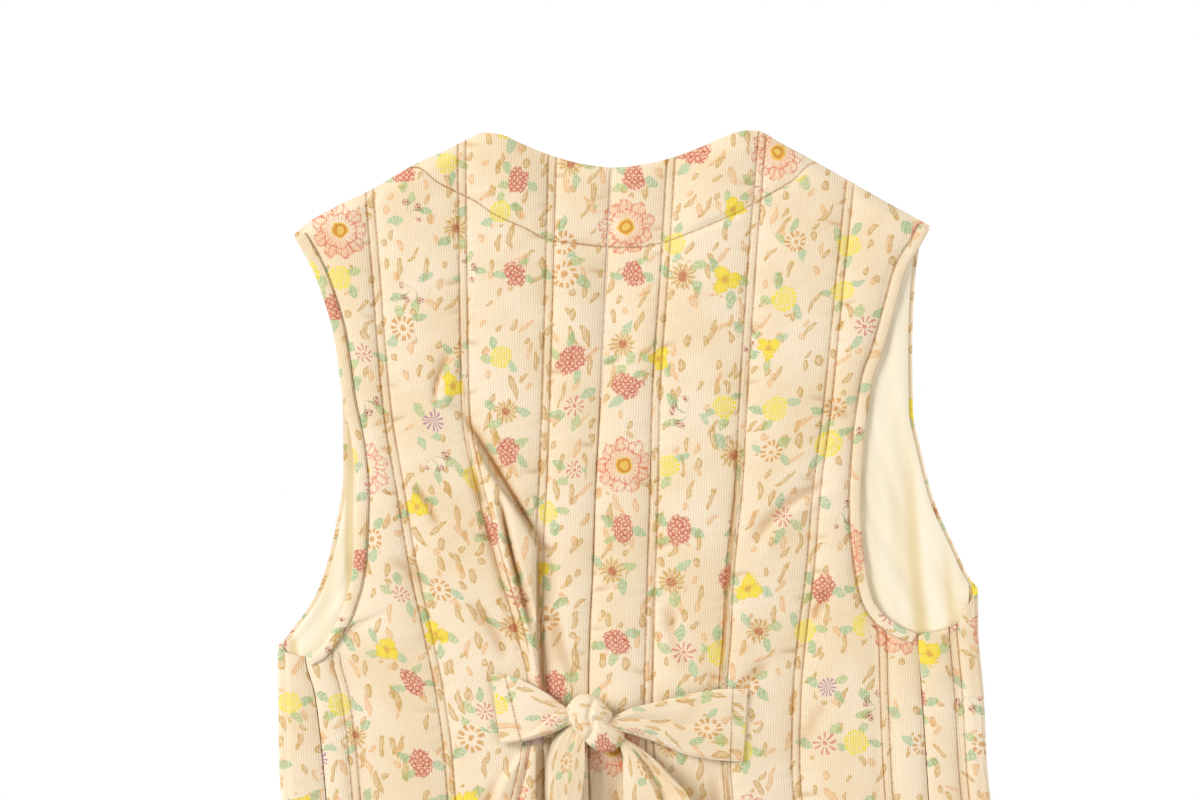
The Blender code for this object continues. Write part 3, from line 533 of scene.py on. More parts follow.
def uneven(at, pitch, seed):
    """A smooth uneven wave between -1 and 1 that never repeats."""
    turn = 2 * math.pi * np.asarray(at) / pitch
    a = np.sin(turn + seed * 1.7 + 0.9 * np.sin(0.31 * turn + seed))
    b = np.sin(0.618 * turn + seed * 2.9)
    c = np.sin(1.71 * turn + seed * 4.1)
    return (a + 0.6 * b + 0.4 * c) / 2


def below_underarm(level):
    """0 beside the armholes and 1 below them, where the last channel is stitched in two."""
    return ease(level, UNDERARM_LEVEL, UNDERARM_LEVEL + 16)


def last_row(level, hand, outward):
    """Where the last double row crosses a level. Below the armhole it runs straight up, to under the band."""
    armhole, share, foot = LAST_ROWS[hand]
    low = np.maximum(level, foot)
    c_low, c_here = seam("c_" + hand, low), seam("c_" + hand, level)
    straight = c_low + share * (curve(armhole, low) - c_low)
    straight = straight + D_LEAN * np.minimum(level - foot, 0)
    inside_band = curve(armhole, level) - outward * (BAND_WIDTH + 1.3 * STRIP_HALF)
    straight = outward * np.minimum(outward * straight, outward * inside_band)
    above = c_here + D_SHARE_ABOVE * (curve(armhole, level) - c_here)
    return above + below_underarm(level) * (straight - above)


def back_seams(level):
    """Where the seams of the back cross a level, from its left edge to its right edge."""
    left, right = curve(BACK_ARMHOLE_LEFT, level), curve(BACK_ARMHOLE_RIGHT, level)
    d_left, d_right = (last_row(level, hand, outward) for hand, _, outward in HALVES)
    return [left, d_left, *[seam(name, level) for name in SEAM_COLUMNS[1:]], d_right, right]


def pillow(x, low, high):
    """0 at a channel's two seams and 1 along its middle; a narrow channel stays lower."""
    width = np.maximum(high - low, 0.5)
    share = np.clip((x - low) / width, 0, 1)
    return (4 * share * (1 - share)) ** 0.6 * np.clip(width / FULL_CHANNEL, 0.3, 1)


def from_line(x, level, x1, level1, x2, level2, bow):
    """Share along a slightly bowed line, and distance from it."""
    dx, dy = x2 - x1, level2 - level1
    size = math.hypot(dx, dy)
    share = ((x - x1) * dx + (level - level1) * dy) / size**2
    side = ((level - level1) * dx - (x - x1) * dy) / size
    return share, side - bow * 4 * np.clip(share, 0, 1) * (1 - np.clip(share, 0, 1))


def nearest_seam(x, level, nowhere=999.0):
    """Distance from the nearest seam that has a double row of stitching."""
    seams = back_seams(level)
    lower = []
    for place, edge in ((1, 0), (9, 10)):
        shows = np.abs(seams[place] - seams[edge]) > BAND_WIDTH + 1.35 * STRIP_HALF
        lower.append(np.where((level > UNDERARM_LEVEL + 12) & shows, seams[place], nowhere))
    return np.min([np.abs(x - place) for place in (*seams[2:5], *seams[6:9], *lower)], axis=0)


def pressed(x, level, creases, first, full, last, gone):
    """Height that a table of creases adds, with the shares of each at which it starts and ends."""
    height = np.zeros_like(x)
    for *line, half_width, rise in creases:
        share, beside = from_line(x, level, *line)
        fade = ease(share, first, full) * (1 - ease(share, last, gone))
        height += rise * fade * np.exp(-((beside / half_width) ** 2))
    return height


def pulled_creases(x, level):
    """Height that the creases and the short puckers beside the seams add to the back."""
    height = pressed(x, level, CREASES, -0.12, 0.25, 0.75, 1.12)
    for seed, place in enumerate(back_seams(level)[2:9]):
        for turn in range(int(LENGTH / PUCKER_PITCH)):
            chance = math.sin(12.9 * seed + 7.7 * turn + 1.3)
            middle = PUCKER_PITCH * (turn + 0.5 + 0.45 * math.sin(5.1 * turn + 3.7 * seed))
            away = (x - place) * (1 if chance > 0 else -1)
            reach = PUCKER_LENGTH * (0.6 + 0.7 * abs(chance))
            fade = ease(away, 0, 4) * (1 - ease(away, 0.3 * reach, reach))
            bend = 0.25 * away * math.cos(9.3 * turn + seed)
            dip = np.exp(-(((level - middle - bend) / PUCKER_HALF_WIDTH) ** 2))
            height -= PUCKER_DEPTH * (0.5 + abs(chance)) * fade * dip
    return height


def back_loft(x, level):
    """Thickness of the padded back, with its channels, stitched grooves, gathers and creases."""
    left, d_left, *seams, d_right, right = back_seams(level)
    strip = STRIP_HALF
    c_left, centre, c_right = seams[0], seams[3], seams[6]
    puff = np.zeros_like(x)
    margins = (strip, strip, strip, PLAIN_SEAM_HALF, strip, strip, strip)
    starts = [place + margin for place, margin in zip(seams, margins)]
    ends = [place - margin for place, margin in zip(seams, margins)]
    for seed, (low, high) in enumerate(zip(starts, ends[1:])):
        crest = 1 + 0.10 * uneven(level, 52, seed) + 0.05 * uneven(x * 0.8 + level, 23, seed + 3)
        puff = np.maximum(puff, pillow(x, low, high) * crest)
    above = np.maximum(
        pillow(x, left + BAND_WIDTH, c_left - strip), pillow(x, c_right + strip, right - BAND_WIDTH)
    )
    below = np.zeros_like(x)
    for low, high in (
        (left, d_left - strip), (d_left + strip, c_left - strip),
        (c_right + strip, d_right - strip), (d_right + strip, right),
    ):
        below = np.maximum(below, pillow(x, low, high))
    under = below_underarm(level)
    puff = np.maximum(puff, above * (1 - under) + below * under)
    from_seam = nearest_seam(x, level)
    tucked = np.clip(1 - (from_seam / strip) ** 2, 0, 1)
    puff = np.maximum(puff, 0.17 * tucked)
    edge = np.minimum(level - curve(BACK_TOP, x), LENGTH - level)
    puff = puff * np.sqrt(np.clip(edge / EDGE_TAPER, 0, 1))
    near = np.exp(-np.abs(from_seam - strip) / 7.0) * (from_seam > strip)
    near = np.maximum(near, 0.8 * np.exp(-np.abs(x - centre) / 6.0))
    gathers = GATHER_HEIGHT * near * uneven(level + 0.25 * x, GATHER_PITCH, 2)
    gathers = gathers * (0.6 + 0.4 * uneven(level, 70, 5))
    facing = np.abs(level - curve(FACING, x))
    sunk = FACING_DENT * np.exp(-((facing / 3.0) ** 2)) * ease(x, -175, -160) * (1 - ease(x, 122, 137))
    within = np.clip(edge / 6, 0, 1)
    loft = (CREST - STITCHED) * puff * (1 - sunk) + within * (gathers + pulled_creases(x, level))
    return STITCHED + np.maximum(loft, -0.6)


def back_folds(x, level):
    """Height that the folds pulled in by the tie lift the back."""
    seams = back_seams(level)
    b_left, a_left, b_right = seams[3], seams[4], seams[7]
    width = np.maximum(a_left - b_left, 1.0)
    share = (x - b_left) / width
    edge = curve(ROLL_EDGE_SHARE, level)
    rise = ease(x, b_left - 5, b_left + np.minimum(6, 0.5 * width))
    fall = 1 - ease(share, edge - 3.2 / width, edge + 2.8 / width)
    split = np.exp(-(((share - curve(ROLL_SPLIT_SHARE, level)) * width / 2.6) ** 2))
    split = split * ease(level, 250, 268) * (1 - ease(level, 335, 352))
    roll = curve(ROLL_HEIGHT, level) * rise * fall * (1 - 0.6 * split) * ease(level, 205, 212)
    roll = roll * (1 - ease(level, 418, 440))
    lip = curve(FLARE_EDGE, level)
    flare = ease(x, lip - 2.5, lip + 2.5) * (1 - ease(x, a_left - 9, a_left - 1))
    flare = flare * curve(FLARE_HEIGHT, level) * ease(level, 422, 428)
    beyond = np.exp(-(np.clip(x - b_right, 0, None) / 24) ** 2)
    overlap = curve(OVERLAP_HEIGHT, level) * ease(x, b_right - 5, b_right) * beyond * ease(level, 240, 250)
    return np.maximum(roll, flare) + overlap


def back_inside(x, level):
    """Height of the back's plain inner side."""
    from_top = level - curve(BACK_TOP, x)
    past_neck = np.abs(x - NECK_MIDDLE) - FRONT_NECK_HALF
    shoulder = (1 - ease(from_top, 0, 9)) * ease(past_neck, -6, 4)
    neck_half = FRONT_NECK_HALF * (1 - level / FRONT_NECK_DEPTH)
    open_neck = ease(neck_half - np.abs(x - NECK_MIDDLE), 2, 42)
    drop = np.maximum(shoulder * EDGE_DROP, open_neck * (BACK_INSIDE - 1.5))
    return BACK_INSIDE - drop + back_folds(x, level)


def laid_out(knots, shares, top, rows):
    """x and level of each point of a panel, with rows down from its top edge and columns along its seams."""
    k = np.array([share[0] for share in shares])
    along = np.array([share[1] for share in shares])
    rows = np.array(rows)[:, None]
    level = LENGTH * rows + np.zeros(len(shares))
    column = np.broadcast_to(k, level.shape)[None]
    for _ in range(16):
        lines = np.stack([np.broadcast_to(line, level.shape) for line in knots(level)])
        low = np.take_along_axis(lines, column, axis=0)[0]
        high = np.take_along_axis(lines, column + 1, axis=0)[0]
        x = low + along * (high - low)
        start = curve(top, x)
        level = start + rows * (LENGTH - start)
    return x, level


def shares_of(cells):
    """(knot, share) of each column of a panel, cut into so many cells between one knot and the next."""
    shares = [(k, cell / count) for k, count in enumerate(cells) for cell in range(count)]
    return shares + [(len(cells) - 1, 1.0)]


def grid(x, level, z):
    return np.stack([x, level, np.broadcast_to(z, x.shape)], axis=-1)


UNMARKED = {"across": AWAY, "facing": AWAY, "middle": AWAY, "deep": 0.0}


def dressed(name, shape, cloth_map, marks, material):
    """A shape made into a piece, with the place on the cloth and the marks of each of its points."""
    bmesh.ops.recalc_face_normals(shape, faces=shape.faces[:])
    mesh = bpy.data.meshes.new(name)
    shape.to_mesh(mesh)
    shape.free()
    corner = np.zeros(len(mesh.loops), dtype=np.int32)
    mesh.loops.foreach_get("vertex_index", corner)
    mesh.uv_layers.new(name="cloth").data.foreach_set("uv", (cloth_map[corner] * MM).ravel())
    for key, plain in UNMARKED.items():
        values = marks.get(key, np.full(len(cloth_map), plain))
        mesh.attributes.new(key, "FLOAT", "POINT").data.foreach_set("value", values)
    mesh.shade_smooth()
    mesh.materials.append(material)
    piece = bpy.data.objects.new(name, mesh)
    bpy.context.scene.collection.objects.link(piece)
    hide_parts(name.replace("cloth_", ""))
    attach(piece, "root")
    return piece


def wall(name, inner, outer, cloth_map, material, marks=None):
    """A closed wall of cloth between two grids of points, each rows x columns x (x, level, z).

    marks gives each point's distance from the double stitching (across), from the facing's and from the
    middle seam, and how deep it lies in a crease.
    """
    rows, columns = inner.shape[:2]
    shape = bmesh.new()
    bmesh.ops.create_grid(shape, x_segments=columns - 1, y_segments=rows - 1, size=0.5)
    grown = bmesh.ops.extrude_face_region(shape, geom=shape.faces[:])
    moved = {item for item in grown["geom"] if isinstance(item, bmesh.types.BMVert)}
    spot = []
    for vertex in shape.verts:
        j = round((vertex.co.x + 0.5) * (columns - 1))
        i = round((0.5 - vertex.co.y) * (rows - 1))
        x, level, z = (outer if vertex in moved else inner)[i, j]
        vertex.co = (x * MM, (MIDDLE_LEVEL - level) * MM, z * MM)
        spot.append(i * columns + j)
    marks = {key: np.clip(values, -AWAY, AWAY).ravel()[spot] for key, values in (marks or {}).items()}
    piece = dressed(name, shape, cloth_map.reshape(-1, 2)[spot], marks, material)
    piece.data.set_sharp_from_angle(angle=math.radians(50))
    return piece


def channel_cloth(x, low, high, cloth_low, cloth_high, tuck):
    """Place across the cloth in a channel. Cloth too wide for it is folded out of sight at the tuck."""
    slack = np.maximum((cloth_high - cloth_low) - (high - low), 0)
    spread = (x - low) / np.maximum(high - low, 1) * (cloth_high - cloth_low)
    laid = (x - low) + np.where(x > low + tuck * (high - low), slack, 0)
    return cloth_low + np.where(slack > 0, laid, spread)


def back_cloth(x, level):
    """Place across the cloth at each point of the back."""
    seams = back_seams(level)[2:9]
    b_left, a_left = seams[1:3]
    lip = (curve(FLARE_EDGE, level) - b_left) / np.maximum(a_left - b_left, 1)
    roll = np.where(level > 430, np.clip(lip, 0.02, 0.98), np.clip(curve(ROLL_EDGE_SHARE, level), 0.02, 0.98))
    tucks = (0.97, roll, 0.05, 0.95, 0.97, 0.03)
    cloth = np.where(x < seams[0], SEAM_CLOTH[0] + (x - seams[0]), SEAM_CLOTH[-1] + (x - seams[-1]))
    channels = zip(seams, seams[1:], SEAM_CLOTH, SEAM_CLOTH[1:], tucks)
    for low, high, cloth_low, cloth_high, tuck in channels:
        here = (x >= low) & (x <= high)
        cloth = np.where(here, channel_cloth(x, low, high, cloth_low, cloth_high, tuck), cloth)
    return cloth


ROW_COUNT = 400
SEAM_STEPS = (-5.2, -3.8, -2.75, -1.7, 0.0, 1.7, 2.75, 3.8, 5.2)
for hand, is_left, outward in HALVES:

    def back_knots(level):
        seams = back_seams(level)
        centre, a, b, c, d, edge = seams[5::-1] if is_left else seams[5:]
        lines = [centre + outward * offset for offset in (SEAM_GAP / 2, 0.9, 2.0, 4.0)]
        for place in (a, b, c):
            lines += [place + outward * step for step in SEAM_STEPS]
        thin = 0.2 + 0.8 * below_underarm(level)
        lines += [d + outward * step * thin for step in SEAM_STEPS[2:-2]]
        lines += [edge - outward * BAND_WIDTH, edge - outward * 2.0, edge]
        return lines[::-1] if is_left else lines

    cells = [1, 1, 1, 9] + [1] * 8 + [30] + [1] * 8 + [20] + [1] * 8 + [9] + [1] * 4 + [4, 3, 1]
    cells = cells[::-1] if is_left else cells
    x, level = laid_out(back_knots, shares_of(cells), BACK_TOP, np.linspace(0, 1, ROW_COUNT))
    low = back_inside(x, level)
    high = low + back_loft(x, level)
    under_roll = (np.abs(x - seam("a_left", level)) < 7) & (level > 292) & (level < 412)
    marks = {
        "across": np.where(under_roll, AWAY, nearest_seam(x, level)),
        "facing": level - curve(FACING, x), "middle": x - seam("centre", level),
        # How deep each point lies in a crease, which the shader turns into painted shade.
        "deep": -pulled_creases(x, level),
    }
    back_half = wall(
        "cloth_back_" + hand, grid(x, level, low), grid(x, level, high),
        np.stack([back_cloth(x, level), -level], axis=-1), printed, marks,
    )

back_halves = [bpy.data.objects["cloth_back_" + hand] for hand in ("left", "right")]


# The fronts: they lie under the back, and their sides turn up over a soft fold to the side seams on top.
# Only the armholes and the folded sides show; the quilted seams go on across them.
FRONT_WALL = 3.2
FOLD_INNER_RADIUS = (BACK_INSIDE - FRONT_WALL) / 2
FOLD_RADIUS = FOLD_INNER_RADIUS + FRONT_WALL
SIDE_ROW_SHARE = 0.59
SIDE_COLUMNS = ("level", "fold_left", "side_left", "side_right", "fold_right")
SIDE_ROWS = (
    (353, -254.6, -235.0, 192.5, 236.0),
    (369, -255.0, -235.0, 193.8, 237.5),
    (395, -254.5, -228.5, 196.0, 240.0),
    (440, -254.0, -223.0, 199.0, 242.0),
    (490, -251.0, -219.0, 202.0, 247.0),
    (600, -247.0, -214.0, 207.0, 255.0),
)
FRONT_TOP_LEFT = (*SHOULDER_LEFT, (-110, 2.5), (-104, 20), (-85, 75), (-60, 130), (-35, 178), (-12, 210))
FRONT_TOP_RIGHT = ((-12, 210), (6, 178), (28, 130), (52, 75), (70, 20), (76, 2), (82, 1), *SHOULDER_RIGHT)
FRONT_ARMHOLE_LEFT = (
    (73, -243.5), (95, -227), (119, -219), (154, -212), (189, -209.5), (241, -209), (276, -214),
    (311, -222.5), (329, -230), (346, -242), (360, -253), (366, -262), (369, -275), (395, -280.5),
    (440, -285), (490, -283), (600, -280),
)
FRONT_ARMHOLE_RIGHT = (
    (67, 202.5), (84, 194.5), (119, 191), (154, 190), (196, 190.5), (224, 196), (259, 205),
    (294, 220.5), (313, 229.5), (329, 241), (342, 248), (350, 261), (353, 279), (395, 284),
    (440, 285), (490, 292), (600, 303),
)
FRONT_EDGE = ((210, -12.0), (600, 4.0))
FRONT_SEAMS = (60.0, 125.0, 190.0)
FRONT_ROWS = sorted({*np.linspace(0, 1, 190), 0.545, 0.558, 0.563})
RIM_COVER = 6.0
# Armhole, top edge and the x of the neck point of each front.
FRONTS = {
    "left": (FRONT_ARMHOLE_LEFT, FRONT_TOP_LEFT, -111.0),
    "right": (FRONT_ARMHOLE_RIGHT, FRONT_TOP_RIGHT, 79.0),
}


def side(name, level):
    return listed(SIDE_COLUMNS, SIDE_ROWS, name, level)


def fold_over(x, level, fold, outward, inside):
    """Places a point of the unfolded cloth of a front on its inner or outer side once it is folded."""
    past = outward * (x - fold)
    axis = fold - outward * FOLD_RADIUS
    turn = math.pi * np.clip((past + FOLD_RADIUS) / (2 * FOLD_RADIUS), 0, 1)
    radius = FOLD_INNER_RADIUS if inside else FOLD_RADIUS
    middle = FRONT_WALL + FOLD_INNER_RADIUS
    bent_x = axis + outward * radius * np.sin(turn)
    bent_z = middle - radius * np.cos(turn)
    flat_x = np.where(past > 0, fold - outward * past, x)
    return np.where(np.abs(past) < FOLD_RADIUS, bent_x, flat_x), bent_z


for hand, is_left, outward in HALVES:
    armhole, front_top, neck = FRONTS[hand]

    def front_knots(level):
        fold = side("fold_" + hand, level)
        outer = curve(armhole, level)
        reach = outward * outer
        begin = outward * np.minimum(reach - 6, outward * fold - FOLD_RADIUS)
        end = outward * np.minimum(reach - 3, outward * fold + FOLD_RADIUS)
        lines = [curve(FRONT_EDGE, level) + outward * SEAM_GAP / 2, neck + 0 * level, begin, end, outer]
        return lines[::-1] if is_left else lines

    cells = [24, 14, 26, 20] if is_left else [20, 26, 14, 24]
    x, level = laid_out(front_knots, shares_of(cells), front_top, FRONT_ROWS)
    seam_x, fold_x = side("side_" + hand, level), side("fold_" + hand, level)
    in_x, in_z = fold_over(x, level, fold_x, outward, inside=True)
    out_x, out_z = fold_over(x, level, fold_x, outward, inside=False)
    on_top = out_z > 2 * FRONT_WALL
    side_edge = outward * seam_x + 2 * SEAM_GAP
    in_x = np.where(on_top, outward * np.maximum(outward * in_x, side_edge), in_x)
    out_x = np.where(on_top, outward * np.maximum(outward * out_x, side_edge), out_x)
    line = seam_x + SIDE_ROW_SHARE * (fold_x - seam_x)
    folded_x = fold_x - outward * (FOLD_RADIUS - 6)
    if is_left:
        quilt = pillow(out_x, folded_x, seam_x)
    else:
        beside_seam = pillow(out_x, seam_x, line - STRIP_HALF)
        quilt = np.maximum(beside_seam, pillow(out_x, line + STRIP_HALF, folded_x))
    quilt = quilt * (1 + 0.12 * uneven(level, 37, 4)) + 0.10 * uneven(level, 9, 7)
    settled = ease(np.abs(out_x - fold_x), FOLD_RADIUS, 9)
    hem = np.sqrt(np.clip((LENGTH - level) / EDGE_TAPER, 0, 1))
    lofted = BACK_INSIDE + STITCHED + (CREST - STITCHED) * quilt * hem
    rim = outward * (curve(armhole, level) - x)
    turned_edge = (1 - ease(rim, 2.5, 2.95)) * ease(rim, -0.6, 0.2) * ease(level, 88, 105)
    turned_edge = 1.6 * turned_edge * (1 - ease(outward * (x - fold_x), -FOLD_RADIUS - 4, -FOLD_RADIUS))
    out_z = np.where(on_top, out_z + settled * (lofted - out_z), out_z + turned_edge)
    across = AWAY + 0 * x if is_left else out_x - line
    from_rows = np.min([np.abs(outward * x - place) for place in FRONT_SEAMS], axis=0)
    across = np.where(on_top, across, np.where(rim < RIM_COVER, AWAY, from_rows))
    front = wall(
        "cloth_front_" + hand, grid(in_x, level, in_z), grid(out_x, level, out_z),
        np.stack([x + outward * 14, -level], axis=-1), printed, {"across": across},
    )


# The lining of the fronts: plain cream cotton, seen through the armholes, in soft shallow folds.
def plain_cotton(name):
    """Plain woven cotton in warm cream, with a fine weave, faint rumpling and painted shade in its folds."""
    material, start, u, v = blank_cloth(name)
    at = start.node("ShaderNodeCombineXYZ", inputs={0: u + v * 0.12, 1: v * 0.14})
    soft = noise(start, at, 0.045, 2.0)
    weave = (u * 9.0).wave() * (v * 9.0).wave()
    colour = start.mixed(soft.above(0.35, 0.70), linear(253, 246, 228), linear(248, 238, 213))
    colour = colour.shaded(weave.above(-0.4, 0.4) * 0.25, 236, 226, 208)
    # Painted shade in the folds, deeper where they sink further.
    colour = colour.shaded(mark_of(start, "deep").above(0.1, 1.6) * 0.75, 232, 218, 178)
    raised = weave * 0.08 + soft * 0.6
    return made_up(material, colour, raised, 0.4, {"Roughness": 0.88, "Specular IOR Level": 0.2})


lining_cotton = plain_cotton("lining_cotton")
LINING_WALL = 1.0
LINING_DROP = 11
LINING_SHARE = 0.965
# In the same columns as the creases of the back.
LINING_FOLDS = (
    (186, 195, 200, 372, 3, 6.2, -0.9),
    (213, 280, 221, 352, 2, 5.0, -0.7),
    (177, 215, 184, 330, 3, 5.0, -0.4),
    # Painted shade: these two folds stand for the shadow of the left band on the lining.
    (-203, 150, -204, 330, 1, 3.0, -1.3),
    (-206, 270, -224, 356, 4, 8.0, -0.5),
    (-246, 350, -242, 374, 0, 3.0, -1.2),
)
for hand, is_left, outward in HALVES:
    armhole, front_top, neck = FRONTS[hand]
    lining_top = [(x, level + LINING_DROP) for x, level in front_top]

    def lining_knots(level):
        fold = side("fold_" + hand, level)
        reach = np.minimum(outward * curve(armhole, level) - 3.0, outward * fold - FOLD_RADIUS - 2)
        lines = [curve(FRONT_EDGE, level) + outward * 4, neck + 0 * level, outward * reach]
        return lines[::-1] if is_left else lines

    cells = [60, 10] if is_left else [10, 60]
    x, level = laid_out(lining_knots, shares_of(cells), lining_top, LINING_SHARE * np.linspace(0, 1, 150))
    low = FRONT_WALL + SEAM_GAP
    edge = outward * (curve(armhole, level) - x)
    ripple = 0.75 * uneven(edge * 0.9 + level * 0.12, 19, 3) + 0.5 * uneven(edge - level * 0.3, 31, 6)
    ripple = ripple * ease(edge, 3, 14) * ease(level, 90, 140) * (1 - ease(level, 345, 370))
    # The folds sink the lining, and how deep they sink sets its painted shade.
    folded = pressed(x, level, LINING_FOLDS, -0.1, 0.5, 0.85, 1.1)
    high = low + LINING_WALL + np.clip(ripple + 0.9 + folded, 0, 1.5) * ease(edge, 2.6, 6.0)
    lining = wall(
        "cloth_lining_" + hand, grid(x, level, low), grid(x, level, high),
        np.stack([x, -level], axis=-1), lining_cotton, {"deep": -1.6 * folded},
    )


# The armhole bands: a strip of the print turned over the edge of each back armhole and stitched along inside.
# Each runs from the shoulder to the foot of its armhole, and its section is rounded at the rim.
BANDS = {"left": (BACK_ARMHOLE_LEFT, 368.6), "right": (BACK_ARMHOLE_RIGHT, 352.8)}
ACROSS = np.array([-0.5, -0.2, 1.0, 2.2, 3.5, 4.8, 5.9, 6.6, 7.3, 7.8])
CROWN = np.array([0.0, 0.55, 1.0, 1.25, 1.3, 1.25, 1.05, 0.75, 0.35, 0.05])


class Ground:
    """The upper side of some pieces, as the height in millimetres at any x and level."""

    def __init__(self, pieces):
        corners, sides = [], []
        for piece in pieces:
            first = len(corners)
            corners += [vertex.co.copy() for vertex in piece.data.vertices]
            sides += [[first + i for i in face.vertices] for face in piece.data.polygons]
        self.tree = BVHTree.FromPolygons(corners, sides)

    def at(self, x, level):
        start = (x * MM, (MIDDLE_LEVEL - level) * MM, 0.1)
        hit = self.tree.ray_cast(start, (0, 0, -1))[0]
        return hit.z / MM if hit else 0.0

    def resting(self, x, level, reach=6.0):
        """Height just clear of it, with its narrow grooves bridged, for cloth that lies on it."""
        x, level = np.broadcast_arrays(x, level)
        high = np.vectorize(self.at)(x, level)
        for turn in np.linspace(0, 2 * math.pi, 8, endpoint=False):
            for ring in (0.5 * reach, reach):
                beside = np.vectorize(self.at)(x + ring * math.cos(turn), level + ring * math.sin(turn))
                high = np.maximum(high, beside)
        return high + 1.2 * SEAM_GAP


on_back = Ground(back_halves)
for hand, is_left, outward in HALVES:
    rows, last = BANDS[hand]
    level = np.linspace(rows[0][0] + 2.5, last, 700)
    edge = np.stack([curve(rows, level), level], axis=-1)
    length = np.concatenate([[0], np.cumsum(np.linalg.norm(np.diff(edge, axis=0), axis=1))])
    stops = np.linspace(0, length[-1], 170)
    edge = np.stack([np.interp(stops, length, edge[:, k]) for k in (0, 1)], axis=-1)
    along = np.gradient(edge, axis=0)
    along /= np.linalg.norm(along, axis=1, keepdims=True)
    inner_way = outward * np.stack([-along[:, 1], along[:, 0]], axis=-1)
    place = edge[:, None, :] + ACROSS[None, :, None] * inner_way[:, None, :]
    x, y = place[..., 0], place[..., 1]
    low = on_back.resting(x, y, reach=1.6)
    ripple = 0.3 * uneven(stops, 7.5, 4)[:, None] * (CROWN > 0.3)
    tapered = 1 - 0.7 * ease(stops, length[-1] - 9, length[-1])[:, None]
    high = low + 0.35 + CROWN * tapered * (1 + 0.12 * uneven(stops, 19, 1))[:, None] + ripple
    flip = slice(None) if is_left else slice(None, None, -1)
    cloth_map = np.stack([ACROSS + 0 * x - 300 * outward, 0 * x - stops[:, None]], axis=-1)
    row = np.broadcast_to(1.5 * abs(ACROSS - 7.4) + STITCH_OFFSET, x.shape)
    band = wall(
        "cloth_armhole_band_" + hand, grid(x, y, low)[:, flip], grid(x, y, high)[:, flip],
        cloth_map[:, flip], printed, {"across": row[:, flip]},
    )


# The tie: two straps of doubled cloth from the side seams of the back, knotted in a bow over the middle seam.
# Its free ends spread to the sides in soft pleats, its loops hang down, and the knot grips all four.
TIE_WALL = 1.6
KNOT_CENTRE = (-32.2, 414.3, 20.0)
KNOT_HALF = (23.0, 14.2, 7.5)
KNOT_CORNERS = 2.7
KNOT_NOTCH = 60.0
KNOT_NOTCH_WIDTH = 15.0
KNOT_CREASES = (
    ((-1.6, 15.4), (-4.0, 9.0), (-4.6, 3.6), (-1.6, -3.1), (-4.0, -9.1), (-7.0, -12.5)),
    ((9.0, 3.0), (4.0, 3.4), (-0.3, 3.6), (-1.6, -1.7)),
)
KNOT_CREASE_DEPTH = 2.4
KNOT_CREASE_HALF = 2.0
STRAP_COLUMNS = ("x", "top", "bottom")
STRAP_LEFT = ((-34, 408, 420), (-46, 405, 422), (-57, 402, 424), (-68, 400, 425))
STRAP_RIGHT = ((56, 401, 438), (40, 405, 434), (20, 407, 429), (-4, 409, 423), (-24, 410, 420))
TAIL_COLUMNS = ("x_top", "top", "x_bottom", "bottom", "height", "crease", "step", "swell")
TAIL_LEFT = (
    (-40.0, 409.0, -39.0, 414.0, 19.5, 0.20, 0.5, 0.3),
    (-52.4, 403.1, -47.7, 414.9, 19.0, 0.20, 1.6, 0.8),
    (-63.8, 394.8, -57.1, 418.9, 18.3, 0.53, 2.6, 1.2),
    (-79.9, 386.1, -69.2, 423.6, 17.5, 0.80, 2.2, 1.2),
    (-92.0, 381.5, -80.0, 426.4, 16.5, 0.90, 1.2, 0.9),
    (-105.1, 380.6, -98.6, 429.6, 13.5, 0.93, 0.2, 0.3),
)
TAIL_RIGHT = (
    (-28.0, 410.0, -26.0, 415.5, 19.0, 0.35, 0.2, 0.4),
    (-20.9, 409.5, -17.0, 419.2, 18.5, 0.35, 0.6, 1.2),
    (-6.2, 403.5, -1.0, 423.9, 18.0, 0.38, 0.9, 2.2),
    (13.9, 398.8, 13.0, 429.0, 17.0, 0.50, 0.9, 2.2),
    (34.0, 393.8, 32.0, 436.3, 16.8, 0.52, 0.5, 1.5),
    (55.0, 390.7, 54.0, 440.2, 16.4, 0.50, 0.1, 0.8),
    (74.1, 390.4, 70.8, 441.4, 14.5, 0.50, 0.0, 0.4),
)
LOOP_COLUMNS = ("level", "x_left", "x_right", "depth", "tilt", "hollow")
LOOP_LEFT = (
    (414.0, -48.0, -39.0, 3.0, 0, 0), (419.0, -54.0, -39.5, 3.6, 0, 0), (425.0, -60.5, -39.7, 4.6, 0, 0),
    (434.0, -64.7, -39.6, 6.5, 0, 0), (445.0, -66.8, -39.6, 8.5, 0, 0), (458.0, -67.2, -41.0, 9.5, 0, 0),
    (470.0, -66.5, -42.5, 9.5, 0, 0), (488.0, -63.0, -45.0, 9.0, 0, 0), (502.0, -58.0, -48.0, 7.5, 0, 0),
)
LOOP_RIGHT = (
    (418.0, -25.0, -17.0, 3.4, 0, 0), (424.0, -20.0, -12.5, 4.0, 0, 0), (430.0, -15.5, -3.5, 5.0, 1, 0),
    (439.0, -13.0, 8.5, 7.0, 3, 3.0), (448.5, -13.0, 18.0, 9.0, 5, 5.5), (463.0, -13.0, 31.5, 10.0, 6, 5.5),
    (478.0, -11.0, 38.0, 10.0, 6, 3.5), (490.0, -8.0, 40.5, 9.5, 5, 1.5), (504.0, -2.0, 40.0, 8.0, 4, 0),
)
HOLLOW_LEFT = 0.53
HOLLOW_RIGHT = 0.90
TURN_STEPS = 14

